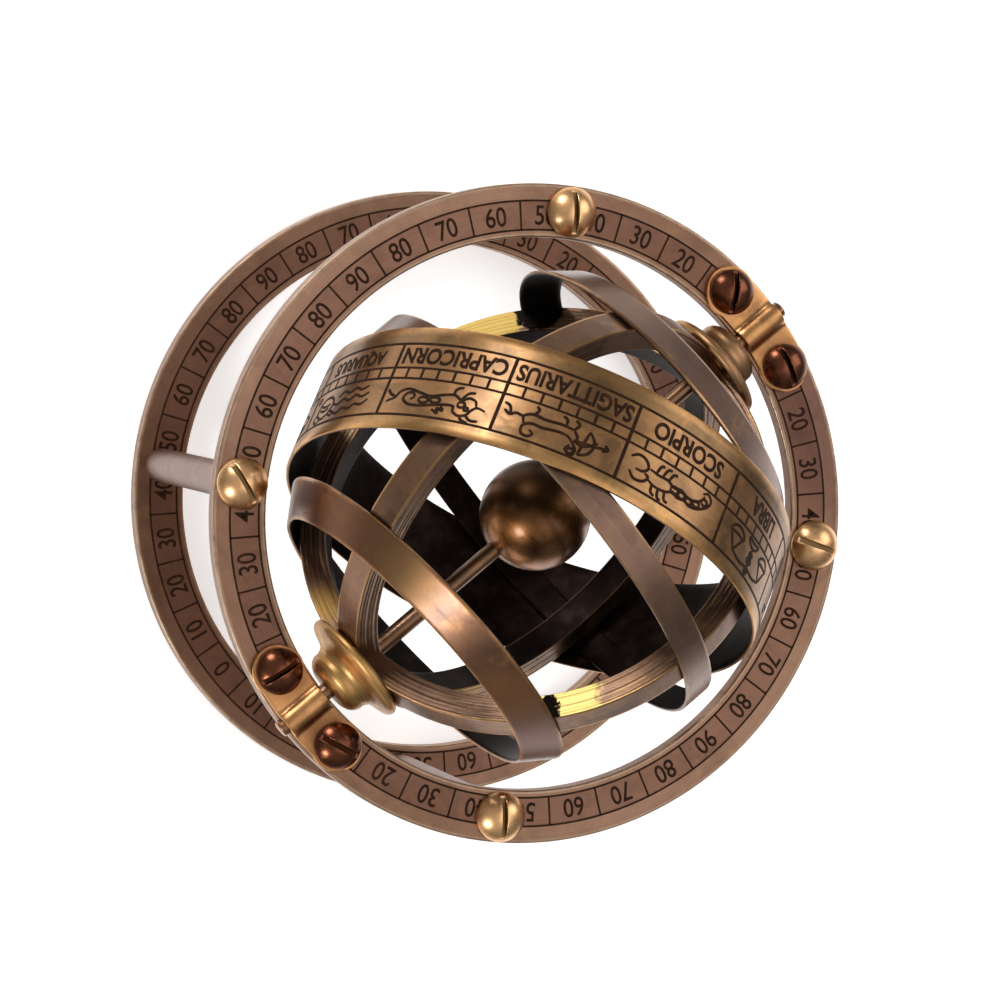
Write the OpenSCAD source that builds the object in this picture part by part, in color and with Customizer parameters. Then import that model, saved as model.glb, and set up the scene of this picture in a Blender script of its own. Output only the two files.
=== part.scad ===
// Desk armillary sphere on a two-ring stand.
// Two dial rings joined by four pillars carry a turning sphere of rings.
// Z is up, the origin is on the desk under the middle of the sphere, and
// X runs along the polar axle.

/* [Dial rings] */
// Outer diameter of both dial rings
dial_d = 115; // [100:1:130]
// Width of a dial ring's flat face
dial_w = 9.3; // [8.8:0.1:10]
// Thickness of a dial ring
dial_t = 3.2; // [2.8:0.1:4]
// Height from the base dial's face to the upper dial's face
dial_rise = 61.4; // [55:0.1:70]

/* [Pillars and screws] */
// Diameter of a pillar
pillar_d = 6.2; // [5.6:0.1:7]
// Diameter of the round-headed pillar screws
screw_head_d = 8.8; // [8:0.1:9.2]
// Height of a pillar screw's head
screw_head_h = 3.4; // [2.8:0.1:4]
// Diameter of a pillar screw's shank
screw_d = 4; // [3:0.1:4.4]
// Diameter of the saddle screws' heads
saddle_head_d = 8; // [7:0.1:8.4]

/* [Saddles] */
// Angle from the axle to a saddle screw, seen from the ring's middle
saddle_turn = 9.1; // [8.9:0.1:10]
// Radial width of a saddle strap
saddle_w = 8.3; // [7:0.1:8.6]
// Thickness of a saddle strap
saddle_t = 1; // [0.8:0.1:1.2]
// How far a saddle's arch spreads at each foot, past the arch itself
saddle_spread = 0.8; // [0.4:0.1:1]

/* [Axle and ball] */
// Diameter of the polar axle
axle_d = 3; // [2.6:0.1:3.2]
// Length of the polar axle
axle_l = 116.4; // [116:0.1:118]
// Diameter of the ball at the middle
ball_d = 19.6; // [16:0.1:24]

/* [Sphere] */
// Outer diameter of the two colure rings
colure_d = 82.8; // [80:0.1:83]
// Radial depth of a colure ring
colure_w = 4.6; // [4:0.1:5.2]
// Thickness of a colure ring
colure_t = 5.3; // [4.6:0.1:5.4]
// Thickness of the flat bands
band_t = 0.7; // [0.5:0.05:0.75]
// Width of the equator band
equator_w = 5.6; // [4:0.1:6]
// Width of each tropic band, along its slope
tropic_w = 7.4; // [6:0.1:8]
// Width of the zodiac band
zodiac_w = 19.6; // [16:0.1:20]
// Latitude of the tropic bands
tropic_lat = 43.9; // [42:0.1:45]
// Slope of the tropic bands' face against the axle
tropic_slope = 38; // [34:0.5:42]
// Tilt of the zodiac band against the equator
zodiac_tilt = 28.75; // [24:0.25:29]
// Turn of the sphere on its axle at rest
sphere_turn = 45.3; // [0:0.1:90]

/* [Hidden] */
$fn = 128;

// Radial play between a shaft and the hole that it turns or sits in
play = 0.03;
// Space between solids that lie against each other
touch = 0.05;
// Overshoot of a cutting solid past the face that it opens
over = 1;

dial_r = dial_d / 2;
dial_in_r = dial_r - dial_w;
mid_r = dial_r - dial_w / 2;
edge_bevel = 0.4;

// Radius of the sphere whose cap has this rim radius and height
function cap_radius(r, h) = (r * r + h * h) / (2 * h);

slot_w = 1.3;
slot_depth = 1.5;
head_rim = 0.9;
// The feet are slotted domes, so they stand on the edges of their slots
foot_cap_r = cap_radius(screw_head_d / 2, screw_head_h - head_rim);
slot_loss = foot_cap_r - sqrt(foot_cap_r * foot_cap_r - slot_w * slot_w / 4);

base_bottom = screw_head_h - slot_loss;
base_top = base_bottom + dial_t;
top_face = base_top + dial_rise;
top_bottom = top_face - dial_t;
pillar_l = top_bottom - base_top;
pillar_turns = [45, 135, 225, 315];

ring_hole_d = screw_d + 0.3;
thread_l = 10;
shank_l = dial_t + thread_l - over;
top_slot_turns = [7, 127, 7, 167];
base_slot_turns = [35, 100, 10, 75];

axle_r = axle_d / 2;
groove_r = axle_r + touch;
saddle_screw_d = 3;
saddle_head_h = 2.9;
saddle_hole_d = saddle_screw_d + 0.3;
saddle_slot_turns = [85, 35, 2, 103];
arch_r = groove_r + saddle_t;

colure_r = colure_d / 2;
colure_in_r = colure_r - colure_w;
lap = colure_w / 2;
// The colures' outer corners stand this far from the middle of the sphere
corner_r = norm([colure_r, colure_t / 2]);
equator_in_r = corner_r + touch;
equator_r = equator_in_r + band_t;
// The tropic and zodiac bands each clear the ring that they lie over
tropic_in_r = corner_r + 0.45;
zodiac_in_r = norm([equator_r, equator_w / 2]) + touch;
zodiac_r = zodiac_in_r + band_t;
zodiac_node_turn = -40;
zodiac_shift = 1;
tropic_skews = [[0, 2, 3], [0, 2, 0]];

collar_r = 10.3;
collar_boss_r = 5.6;
collar_face = colure_r + touch;
collar_end = dial_in_r - 0.8;
collar_wall = 1.3;
collar_hub_r = 3;

// A ring with bevelled edges, standing on its lower face
module dial_blank() {
    rotate_extrude()
        polygon([[dial_in_r + edge_bevel, 0],
                 [dial_r - edge_bevel, 0],
                 [dial_r, edge_bevel],
                 [dial_r, dial_t - edge_bevel],
                 [dial_r - edge_bevel, dial_t],
                 [dial_in_r + edge_bevel, dial_t],
                 [dial_in_r, dial_t - edge_bevel],
                 [dial_in_r, edge_bevel]]);
}

// One through hole for each pillar screw
module pillar_holes(d) {
    for (a = pillar_turns)
        rotate(a)
            translate([mid_r, 0, -over])
                cylinder(d = d, h = dial_t + 2 * over);
}

// Holes for the four saddle screws
module saddle_holes(d, h) {
    for (side = [0, 180])
        for (a = [-saddle_turn, saddle_turn])
            rotate(side + a)
                translate([mid_r, 0, 0])
                    cylinder(d = d, h = h);
}

module top_ring() {
    color("rosybrown")
        translate([0, 0, top_bottom])
            difference() {
                dial_blank();
                pillar_holes(ring_hole_d);
                translate([0, 0, -over])
                    saddle_holes(saddle_screw_d + 2 * play, dial_t + 2 * over);
                // Half-round grooves that the axle turns in
                translate([-dial_d, 0, dial_t])
                    rotate([0, 90, 0])
                        cylinder(r = groove_r, h = 2 * dial_d);
            }
}

module base_ring() {
    color("rosybrown")
        translate([0, 0, base_bottom])
            difference() {
                dial_blank();
                pillar_holes(ring_hole_d);
            }
}

// A plain pillar, tapped at both ends
module pillar(n) {
    color("thistle")
        rotate(pillar_turns[n])
            translate([mid_r, 0, base_top])
                difference() {
                    cylinder(d = pillar_d, h = pillar_l);
                    for (z = [-over, pillar_l - thread_l])
                        translate([0, 0, z])
                            cylinder(d = screw_d + 2 * play, h = thread_l + over);
                }
}

// A slotted screw with a low domed head, its seat at the origin and its shank below
module domed_screw(head_d, head_h, d, shank, slot_turn) {
    dome_r = cap_radius(head_d / 2, head_h - head_rim);
    difference() {
        union() {
            intersection() {
                cylinder(d = head_d, h = head_h + over);
                translate([0, 0, head_h - dome_r])
                    sphere(r = dome_r);
            }
            translate([0, 0, -shank])
                cylinder(d = d, h = shank + head_rim);
        }
        rotate(slot_turn)
            translate([-head_d, -slot_w / 2, head_h - slot_depth])
                cube([2 * head_d, slot_w, head_h]);
    }
}

module top_screws() {
    color("goldenrod")
        for (i = [0 : 3])
            rotate(pillar_turns[i])
                translate([mid_r, 0, top_face])
                    domed_screw(screw_head_d, screw_head_h, screw_d, shank_l,
                                top_slot_turns[i]);
}

module base_screws() {
    color("goldenrod")
        for (i = [0 : 3])
            rotate(pillar_turns[i])
                translate([mid_r, 0, base_bottom])
                    mirror([0, 0, 1])
                        domed_screw(screw_head_d, screw_head_h, screw_d, shank_l,
                                    base_slot_turns[i]);
}

// The outline of a saddle strap, seen from above
module saddle_outline() {
    intersection() {
        difference() {
            circle(r = mid_r + saddle_w / 2);
            circle(r = mid_r - saddle_w / 2);
        }
        polygon([[0, 0],
                 2 * dial_r * [cos(saddle_turn), -sin(saddle_turn)],
                 2 * dial_r * [cos(saddle_turn), sin(saddle_turn)]]);
    }
    for (a = [-saddle_turn, saddle_turn])
        rotate(a)
            translate([mid_r, 0])
                circle(d = saddle_head_d + 1.1);
}

// The stock of a saddle's arch, spread at both feet in two slopes
module saddle_arch() {
    foot = arch_r + saddle_spread;
    rotate([0, 90, 0])
        cylinder(r = arch_r, h = dial_d);
    rotate([90, 0, 90])
        linear_extrude(dial_d)
            polygon([[-foot, saddle_t - 0.1],
                     [foot, saddle_t - 0.1],
                     [foot, saddle_t],
                     [0.77 * foot, saddle_t + 0.17],
                     [0.55 * foot, saddle_t + 0.7],
                     [-0.55 * foot, saddle_t + 0.7],
                     [-0.77 * foot, saddle_t + 0.17],
                     [-foot, saddle_t]]);
}

// A strap with an arch over the axle, held down by two screws
module saddle(side) {
    color("peru")
        translate([0, 0, top_face])
            rotate(side)
                difference() {
                    union() {
                        linear_extrude(saddle_t)
                            saddle_outline();
                        intersection() {
                            saddle_arch();
                            linear_extrude(arch_r + over)
                                saddle_outline();
                        }
                    }
                    rotate([0, 90, 0])
                        cylinder(r = groove_r, h = dial_d);
                    translate([0, -groove_r, -over])
                        cube([dial_d, 2 * groove_r, over]);
                    for (a = [-saddle_turn, saddle_turn])
                        rotate(a)
                            translate([mid_r, 0, -over])
                                cylinder(d = saddle_hole_d, h = saddle_t + 2 * over);
                }
}

module saddle_screws() {
    color("saddlebrown")
        for (i = [0 : 3])
            rotate((i < 2 ? 0 : 180) + (i % 2 == 0 ? -saddle_turn : saddle_turn))
                translate([mid_r, 0, top_face + saddle_t])
                    domed_screw(saddle_head_d, saddle_head_h, saddle_screw_d,
                                saddle_t + dial_t - 0.2, saddle_slot_turns[i]);
}

// Puts a piece of the sphere, drawn about the origin with the axle on X, in its place
module in_sphere(turn = 0) {
    translate([0, 0, top_face])
        rotate([sphere_turn + turn, 0, 0])
            children();
}

// A cylinder along the axle, centred on the middle of the sphere
module along_axle(r, l) {
    rotate([0, 90, 0])
        cylinder(r = r, h = l, center = true);
}

module polar_axle() {
    color("darkgoldenrod")
        in_sphere() {
            end = axle_l / 2;
            rotate([0, 90, 0])
                rotate_extrude()
                    polygon([[0, -end],
                             [axle_r - 0.3, -end],
                             [axle_r, -end + 0.3],
                             [axle_r, end - 0.3],
                             [axle_r - 0.3, end],
                             [0, end]]);
        }
}

module ball() {
    color("sienna")
        in_sphere()
            difference() {
                sphere(d = ball_d);
                along_axle(axle_r + play, ball_d + 2 * over);
            }
}

// A spun bell that covers the crossing of the colures, open towards the ball
module bell_collar(side) {
    rim_x = sqrt(pow(collar_face, 2) - pow(collar_r - collar_wall, 2)) + 0.15;
    color("olive")
        in_sphere()
            rotate([0, side, 0])
                rotate_extrude()
                    polygon([[axle_r + play, collar_face],
                             [collar_hub_r, collar_face],
                             [collar_hub_r + 0.3, collar_face + 1.5],
                             [collar_boss_r - 0.6, collar_face + 1.4],
                             [collar_r - 1.7, rim_x + 0.9],
                             [collar_r - collar_wall, rim_x],
                             [collar_r - 0.6, rim_x - 0.1],
                             [collar_r - 0.1, rim_x + 0.3],
                             [collar_r, rim_x + 0.9],
                             [collar_r - 0.3, rim_x + 1.5],
                             [collar_r - 1.1, rim_x + 1.9],
                             [collar_r - 2.6, rim_x + 2.3],
                             [collar_r - 3.8, rim_x + 2.9],
                             [collar_boss_r + 0.5, rim_x + 3.5],
                             [collar_boss_r + 0.3, rim_x + 4.1],
                             [collar_boss_r + 0.3, rim_x + 4.7],
                             [collar_boss_r - 0.2, rim_x + 5.5],
                             [collar_boss_r - 1.2, rim_x + 6.2],
                             [collar_boss_r - 2.4, collar_end],
                             [axle_r + play, collar_end]]);
}

// A turned ring of rectangular section in the plane of the axle, bored at both poles
module colure_ring() {
    difference() {
        rotate_extrude()
            translate([colure_in_r, -colure_t / 2])
                square([colure_w, colure_t]);
        along_axle(axle_r + play, 2 * colure_d);
    }
}

// The stock that a half-lap removes at each pole, between two radii
module lap_cut(near, far) {
    for (side = [0, 180])
        rotate(side)
            translate([near, -colure_t / 2 - touch, -colure_t])
                cube([far - near, colure_t + 2 * touch, 2 * colure_t]);
}

module equinoctial_colure() {
    color("sienna")
        in_sphere()
            difference() {
                colure_ring();
                lap_cut(colure_in_r - over, colure_r - lap + touch / 2);
            }
}

module solstitial_colure() {
    color("tan")
        in_sphere(90)
            difference() {
                colure_ring();
                lap_cut(colure_r - lap - touch / 2, colure_r + over);
            }
}

// A flat band bent into a hoop round the axle
module hoop(r_in, r_out, w) {
    rotate([0, 90, 0])
        rotate_extrude()
            translate([r_in, -w / 2])
                square([r_out - r_in, w]);
}

module equator_band() {
    color("rosybrown")
        in_sphere()
            hoop(equator_in_r, equator_r, equator_w);
}

// A sloping band round the axle at the tropic's latitude
module tropic_band(side, skew) {
    along = [sin(tropic_slope), -cos(tropic_slope)] * tropic_w / 2;
    outward = [cos(tropic_slope), sin(tropic_slope)] * band_t;
    middle = tropic_in_r * [cos(tropic_lat), sin(tropic_lat)];
    translate([0, 0, top_face])
        rotate(skew)
            rotate([0, side, 0])
                rotate_extrude()
                    polygon([middle - along,
                             middle + along,
                             middle + along + outward,
                             middle - along + outward]);
}

module tropic_band_west() {
    color("tan")
        tropic_band(-90, tropic_skews[0]);
}

module tropic_band_east() {
    color("rosybrown")
        tropic_band(90, tropic_skews[1]);
}

module zodiac_band() {
    color("darkkhaki")
        translate([0, 0, top_face])
            rotate([zodiac_node_turn, 0, 0])
                rotate([0, 0, zodiac_tilt])
                    translate([zodiac_shift, 0, 0])
                        hoop(zodiac_in_r, zodiac_r, zodiac_w);
}

top_ring();
base_ring();
pillar(0);  // pillar_1
pillar(1);  // pillar_2
pillar(2);  // pillar_3
pillar(3);  // pillar_4
top_screws();
base_screws();
saddle(180);  // saddle_west
saddle(0);  // saddle_east
saddle_screws();
polar_axle();
ball();
bell_collar(-90);  // bell_collar_west
bell_collar(90);  // bell_collar_east
equinoctial_colure();
solstitial_colure();
equator_band();
tropic_band_west();
tropic_band_east();
zodiac_band();
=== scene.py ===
import math

import bpy
import numpy as np
from bpy.props import (FloatProperty, FloatVectorProperty, IntProperty,
                       PointerProperty)
from mathutils import Matrix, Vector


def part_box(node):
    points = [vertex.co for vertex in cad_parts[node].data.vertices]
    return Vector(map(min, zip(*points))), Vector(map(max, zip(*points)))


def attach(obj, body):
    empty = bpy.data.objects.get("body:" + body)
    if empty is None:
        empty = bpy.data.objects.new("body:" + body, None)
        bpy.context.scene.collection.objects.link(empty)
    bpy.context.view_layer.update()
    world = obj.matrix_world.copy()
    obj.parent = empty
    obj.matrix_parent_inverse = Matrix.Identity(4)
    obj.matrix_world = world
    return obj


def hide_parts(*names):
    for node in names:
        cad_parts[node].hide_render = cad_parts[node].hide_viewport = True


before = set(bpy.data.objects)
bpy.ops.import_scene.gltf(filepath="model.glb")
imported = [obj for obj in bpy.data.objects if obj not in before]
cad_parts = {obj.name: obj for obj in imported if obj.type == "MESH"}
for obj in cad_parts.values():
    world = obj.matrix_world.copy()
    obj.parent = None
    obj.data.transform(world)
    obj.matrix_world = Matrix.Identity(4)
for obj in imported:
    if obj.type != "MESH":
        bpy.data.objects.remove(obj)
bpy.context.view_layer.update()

bl_info = {
    "name": "Armillary Sphere",
    "version": (1, 0, 0),
    "blender": (4, 5, 0),
    "location": "View3D > Sidebar > Armillary",
    "description": "Dial stand, pillars, saddles and turning sphere of a desk armillary sphere",
    "category": "Object",
}

MM = 0.001


def cad(node):
    """The two corners of a CAD node's box, in millimetres."""
    low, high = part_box(node)
    return np.array(low) / MM, np.array(high) / MM


# The lengths below are in millimetres, and the turns in degrees
BASE_LOW, BASE_HIGH = cad("base_ring")
AXLE_END, AXLE_R = cad("polar_axle")[1][:2]
BALL_R = cad("ball")[1][0]
DIAL_R = cad("top_ring")[1][0]
DIAL_W = 9.3
DIAL_T = BASE_HIGH[2] - BASE_LOW[2]
DIAL_RISE = 61.4
GROOVE_R = 1.55
BASE_FACE = BASE_HIGH[2]
TOP_FACE = BASE_FACE + DIAL_RISE
MID_R = DIAL_R - DIAL_W / 2
PILLAR_R = 3.1
PILLAR_TURNS = (45, 135, 225, 315)
SADDLE_TURN = 9.1
SADDLE_T = 1.0
COLLAR_FACE = 41.45
BORE_PLAY = 0.03


# ---------------------------------------------------------------- settings

class DialSettings(bpy.types.PropertyGroup):
    line_inner: FloatProperty(
        name="Inner line", description="Radius of the etched circle inside the numbers",
        default=49.46 * MM, min=0.048, max=0.051, unit="LENGTH")
    line_outer: FloatProperty(
        name="Outer line", description="Radius of the etched circle outside the numbers",
        default=54.5 * MM, min=0.053, max=0.056, unit="LENGTH")
    line_width: FloatProperty(
        name="Line width", description="Width of every etched line on the dials",
        default=0.36 * MM, min=0.0002, max=0.0006, unit="LENGTH")
    number_height: FloatProperty(
        name="Number height", description="Height of the etched numbers",
        default=3.45 * MM, min=0.0025, max=0.004, unit="LENGTH")
    proud: FloatProperty(
        name="Fill height", description="How far the dark fill stands above the metal",
        default=0.015 * MM, min=0.0, max=0.00005, unit="LENGTH")


class SphereSettings(bpy.types.PropertyGroup):
    turn: FloatProperty(
        name="Rest turn", description="Turn of the equinoctial colure about the axle at rest",
        default=math.radians(45.3), subtype="ANGLE", unit="ROTATION")
    colure_radius: FloatProperty(
        name="Colure radius", description="Outer radius of the two colure rings",
        default=41.4 * MM, min=0.04, max=0.0415, unit="LENGTH")
    groove_depth: FloatProperty(
        name="Groove depth", description="Depth of the turned grooves in the colures' faces",
        default=0.06 * MM, min=0.0, max=0.0003, unit="LENGTH")
    tilt: FloatProperty(
        name="Zodiac tilt", description="Tilt of the zodiac band against the equator",
        default=math.radians(28.75), subtype="ANGLE", unit="ROTATION")
    steps: IntProperty(
        name="Steps round a band", description="Number of steps round each band and ring",
        default=360, min=96, max=720)


class ScrewSettings(bpy.types.PropertyGroup):
    slot_width: FloatProperty(
        name="Slot width", description="Width of the screwdriver slots",
        default=0.92 * MM, min=0.0008, max=0.0016, unit="LENGTH")
    slot_depth: FloatProperty(
        name="Slot depth", description="Depth of the screwdriver slots",
        default=1.7 * MM, min=0.001, max=0.002, unit="LENGTH")


class FinishSettings(bpy.types.PropertyGroup):
    dial: FloatVectorProperty(
        name="Dial brass", description="Colour of the dial rings' metal",
        default=(0.345, 0.198, 0.132), subtype="COLOR", min=0, max=1)
    gold: FloatVectorProperty(
        name="Zodiac bronze", description="Colour of the zodiac band's outside",
        default=(0.40, 0.225, 0.092), subtype="COLOR", min=0, max=1)
    strip: FloatVectorProperty(
        name="Strip bronze", description="Colour of the equator and tropic strips",
        default=(0.24, 0.135, 0.092), subtype="COLOR", min=0, max=1)
    screw: FloatVectorProperty(
        name="Screw brass", description="Colour of the pillar screws",
        default=(0.95, 0.53, 0.25), subtype="COLOR", min=0, max=1)
    fill: FloatVectorProperty(
        name="Etch fill", description="Colour of the dark fill in the etched lines",
        default=(0.026, 0.011, 0.005), subtype="COLOR", min=0, max=1)
    # The inside colour is near black: partly oxide and partly painted shade, where the light does
    # not reach into the bands.
    oxide: FloatVectorProperty(
        name="Inside black", description="Colour of the oxide on the bands' inner faces",
        default=(0.010, 0.006, 0.005), subtype="COLOR", min=0, max=1)


class StageSettings(bpy.types.PropertyGroup):
    lens: FloatProperty(
        name="Lens", description="Focal length of the camera, in millimetres on a 36 mm sensor",
        default=126.23, min=50, max=200)
    floor_size: FloatProperty(
        name="Floor size", description="Width of the floor", default=6.0, unit="LENGTH")
    soft_light: FloatProperty(
        name="Soft light", description="Brightness of the surrounding soft light",
        default=0.42, min=0.0, max=5.0)
    floor_glow: FloatProperty(
        name="Floor glow", description="Light that the pale floor gives out by itself",
        default=0.55, min=0.0, max=2.0)


# ------------------------------------------------------------------ shapes

def grid(rows, cols, wrap_rows=True, wrap_cols=True):
    """Quads of a grid whose point (i, j) has index i * cols + j, joined up at the wrapped sides."""
    i = np.arange(rows if wrap_rows else rows - 1)[:, None]
    j = np.arange(cols if wrap_cols else cols - 1)[None, :]
    i2, j2 = (i + 1) % rows, (j + 1) % cols
    return np.stack([i * cols + j, i2 * cols + j, i2 * cols + j2, i * cols + j2],
                    axis=-1).reshape(-1, 4)


def rounded(corners, radius, steps=4, spread=1.6):
    """Rounds every corner of a closed outline with a quadratic curve.

    Each corner P gives points (1-t)^2 A + 2t(1-t) P + t^2 B, where A and B lie
    on the two sides at the radius from P, and a guard point beyond each. The
    second result is the edge mask: 1 at the middle of a corner, 0 at the guards.
    """
    p = np.asarray(corners, float)
    back, ahead = np.roll(p, 1, 0) - p, np.roll(p, -1, 0) - p
    long_back = np.linalg.norm(back, axis=1, keepdims=True)
    long_ahead = np.linalg.norm(ahead, axis=1, keepdims=True)
    r = np.broadcast_to(np.asarray(radius, float).reshape(-1, 1), (len(p), 1))
    near_back, near_ahead = np.minimum(r, 0.3 * long_back), np.minimum(r, 0.3 * long_ahead)
    a, b = p + back / long_back * near_back, p + ahead / long_ahead * near_ahead
    t = np.linspace(0, 1, steps + 1)[None, :, None]
    arc = (1 - t) ** 2 * a[:, None] + 2 * t * (1 - t) * p[:, None] + t ** 2 * b[:, None]
    guard_a = p + back / long_back * near_back * spread
    guard_b = p + ahead / long_ahead * near_ahead * spread
    points = np.concatenate([guard_a[:, None], arc, guard_b[:, None]], axis=1)
    mask = np.concatenate([[0], 0.55 + 0.45 * np.sin(np.pi * np.linspace(0, 1, steps + 1)), [0]])
    return points.reshape(-1, 2), np.tile(mask, len(p))


def revolve(profile, steps):
    """Carries a closed profile of (radius, height) once round the Z axis.

    Point (i, j) is (r_j cos a_i, r_j sin a_i, h_j). A profile that runs
    anticlockwise, with its metal on the left, gives faces that point outwards.
    """
    a = np.linspace(0, 2 * np.pi, steps, endpoint=False)[:, None]
    r, h = profile[:, 0], profile[:, 1]
    points = np.stack([np.cos(a) * r, np.sin(a) * r, h + 0 * a], axis=-1)
    return points.reshape(-1, 3), [grid(steps, len(profile))]


def all_round(steps, edge, inner, across):
    """The marks of a revolved profile, repeated once for each step round it."""
    return {"edge": np.tile(edge, steps), "inner": np.tile(inner, steps),
            "across": np.tile(across, steps)}


def revolve_solid(profile, steps):
    """Carries an open profile, which starts and ends on the Z axis, once round it.

    Each end is one point. The other points of the profile have r_j > 0.
    """
    a = np.linspace(0, 2 * np.pi, steps, endpoint=False)[:, None]
    r, h = profile[1:-1, 0], profile[1:-1, 1]
    n = len(r)
    points = np.stack([np.cos(a) * r, np.sin(a) * r, h + 0 * a], axis=-1).reshape(-1, 3)
    poles = np.array([[0, 0, profile[0, 1]], [0, 0, profile[-1, 1]]])
    i = np.arange(steps)
    i2 = (i + 1) % steps
    start = np.stack([np.full(steps, steps * n), i2 * n, i * n], axis=-1)
    end = np.stack([i * n + n - 1, i2 * n + n - 1, np.full(steps, steps * n + 1)], axis=-1)
    return np.vstack([points, poles]), [grid(steps, n, True, False), start, end]


def turned(axis, angle):
    """The 3x3 matrix of a turn about one of the axes X, Y or Z, angle in radians."""
    c, s = math.cos(angle), math.sin(angle)
    rows = {"X": [[1, 0, 0], [0, c, -s], [0, s, c]],
            "Y": [[c, 0, s], [0, 1, 0], [-s, 0, c]],
            "Z": [[c, -s, 0], [s, c, 0], [0, 0, 1]]}
    return np.array(rows[axis])


ALONG_X = turned("Y", math.pi / 2)
CENTRE = np.array([0.0, 0.0, TOP_FACE])


def in_sphere(points, turn):
    """Points about the axle, which lies on X, turned about it and lifted to the sphere's middle."""
    return points @ turned("X", turn).T + CENTRE


def merged(parts):
    """Joins several (points, faces) into one, with their indices moved on."""
    points, faces, start = [], {}, 0
    for p, f in parts:
        points.append(p)
        for block in f:
            faces.setdefault(block.shape[1], []).append(block + start)
        start += len(p)
    return np.vstack(points), [np.vstack(b) for b in faces.values()]


def plate(points, faces, low, high):
    """Gives a flat mesh of points (u, v) a thickness from low to high.

    The faces stand once at the top and once, turned over, at the bottom, and
    every edge that only one face has becomes a wall.
    """
    n = len(points)
    top = np.column_stack([points, np.full(n, high)])
    bottom = np.column_stack([points, np.full(n, low)])
    blocks, ring = [], []
    for f in faces:
        blocks += [f, f[:, ::-1] + n]
        ring.append(np.stack([f, np.roll(f, -1, 1)], axis=-1).reshape(-1, 2))
    ring = np.vstack(ring)
    lone = ring[~np.isin(ring[:, 0] * n + ring[:, 1], ring[:, 1] * n + ring[:, 0])]
    lone = np.unique(lone, axis=0)
    wall = np.stack([lone[:, 1], lone[:, 0], lone[:, 0] + n, lone[:, 1] + n], axis=-1)
    return np.vstack([top, bottom]), blocks + [wall]


def stroke(line, width, closed=False, taper=0.0):
    """A flat ribbon along a line of (u, v) points, half its width to each side.

    The side points are P + n w / 2 and P - n w / 2, where n is square to the
    line's direction; taper narrows an open ribbon towards its ends.
    """
    p = np.asarray(line, float)
    if closed:
        d = np.roll(p, -1, 0) - np.roll(p, 1, 0)
    else:
        d = np.gradient(p, axis=0)
    d /= np.maximum(np.linalg.norm(d, axis=1, keepdims=True), 1e-9)
    side = np.column_stack([-d[:, 1], d[:, 0]])
    s = np.linspace(0, 1, len(p))
    half = 0.5 * width * (1 - taper * (2 * np.abs(s - 0.5)) ** 4)[:, None]
    points = np.stack([p - side * half, p + side * half], axis=1).reshape(-1, 2)
    return points, [grid(len(p), 2, closed, False)]


def smooth_line(points, steps=5, closed=False):
    """A Catmull-Rom curve through given points, with some steps between each two."""
    p = np.asarray(points, float)
    if closed:
        q = np.vstack([p[-1:], p, p[:2]])
    else:
        q = np.vstack([2 * p[0] - p[1], p, 2 * p[-1] - p[-2]])
    a, b, c, d = q[:-3, None], q[1:-2, None], q[2:-1, None], q[3:, None]
    t = np.linspace(0, 1, steps, endpoint=False)[None, :, None]
    curve = 0.5 * (2 * b + (c - a) * t + (2 * a - 5 * b + 4 * c - d) * t ** 2
                   + (3 * b - a - 3 * c + d) * t ** 3)
    curve = curve.reshape(-1, 2)
    return curve if closed else np.vstack([curve, p[-1:]])


def lettering(text, weight=0.0):
    """Flat triangles of a line of text, centred on the origin and one unit high."""
    curve = bpy.data.curves.new("lettering", "FONT")
    curve.body = text
    curve.offset = weight
    curve.resolution_u = 4
    holder = bpy.data.objects.new("lettering", curve)
    bpy.context.scene.collection.objects.link(holder)
    bpy.context.view_layer.update()
    mesh = bpy.data.meshes.new_from_object(
        holder.evaluated_get(bpy.context.evaluated_depsgraph_get()))
    mesh.calc_loop_triangles()
    points = np.zeros(len(mesh.vertices) * 3)
    mesh.vertices.foreach_get("co", points)
    tris = np.zeros(len(mesh.loop_triangles) * 3, dtype=np.int32)
    mesh.loop_triangles.foreach_get("vertices", tris)
    points, tris = points.reshape(-1, 3)[:, :2], tris.reshape(-1, 3)
    bpy.data.objects.remove(holder)
    bpy.data.curves.remove(curve)
    bpy.data.meshes.remove(mesh)
    points, same = np.unique(np.round(points, 5), axis=0, return_inverse=True)
    tris = same.reshape(-1)[tris]
    a, b, c = (points[tris[:, k]] for k in range(3))
    area = (b[:, 0] - a[:, 0]) * (c[:, 1] - a[:, 1]) - (b[:, 1] - a[:, 1]) * (c[:, 0] - a[:, 0])
    tris = np.where((area < 0)[:, None], tris[:, ::-1], tris)[np.abs(area) > 1e-9]
    low, high = points.min(0), points.max(0)
    points = (points - (low + high) / 2) / (high[1] - low[1])
    return points, [tris.astype(np.int64)]


def make_piece(name, points, faces, body, slot, material, stands_for=(), angle=35, **marks):
    """Puts points in millimetres and faces into a mesh at the origin, with its float attributes."""
    mesh = bpy.data.meshes.new(name)
    mesh.from_pydata((points * MM).tolist(), [], [f for block in faces for f in block.tolist()])
    mesh.update()
    mesh.polygons.foreach_set("use_smooth", np.ones(len(mesh.polygons), bool))
    mesh.set_sharp_from_angle(angle=math.radians(angle))
    for mark, values in marks.items():
        layer = mesh.attributes.new(mark, "FLOAT", "POINT")
        layer.data.foreach_set("value", np.asarray(values, np.float32))
    piece = bpy.data.objects.new(name, mesh)
    bpy.context.scene.collection.objects.link(piece)
    mesh.materials.append(material)
    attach(piece, body)
    if stands_for:
        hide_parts(*stands_for)
    return piece


# ------------------------------------------------------------ node helpers

def feed(tree, socket, value):
    """Links an input to another node's result, or sets its own value."""
    if isinstance(value, bpy.types.NodeSocket):
        tree.links.new(value, socket)
    else:
        socket.default_value = value


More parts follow.
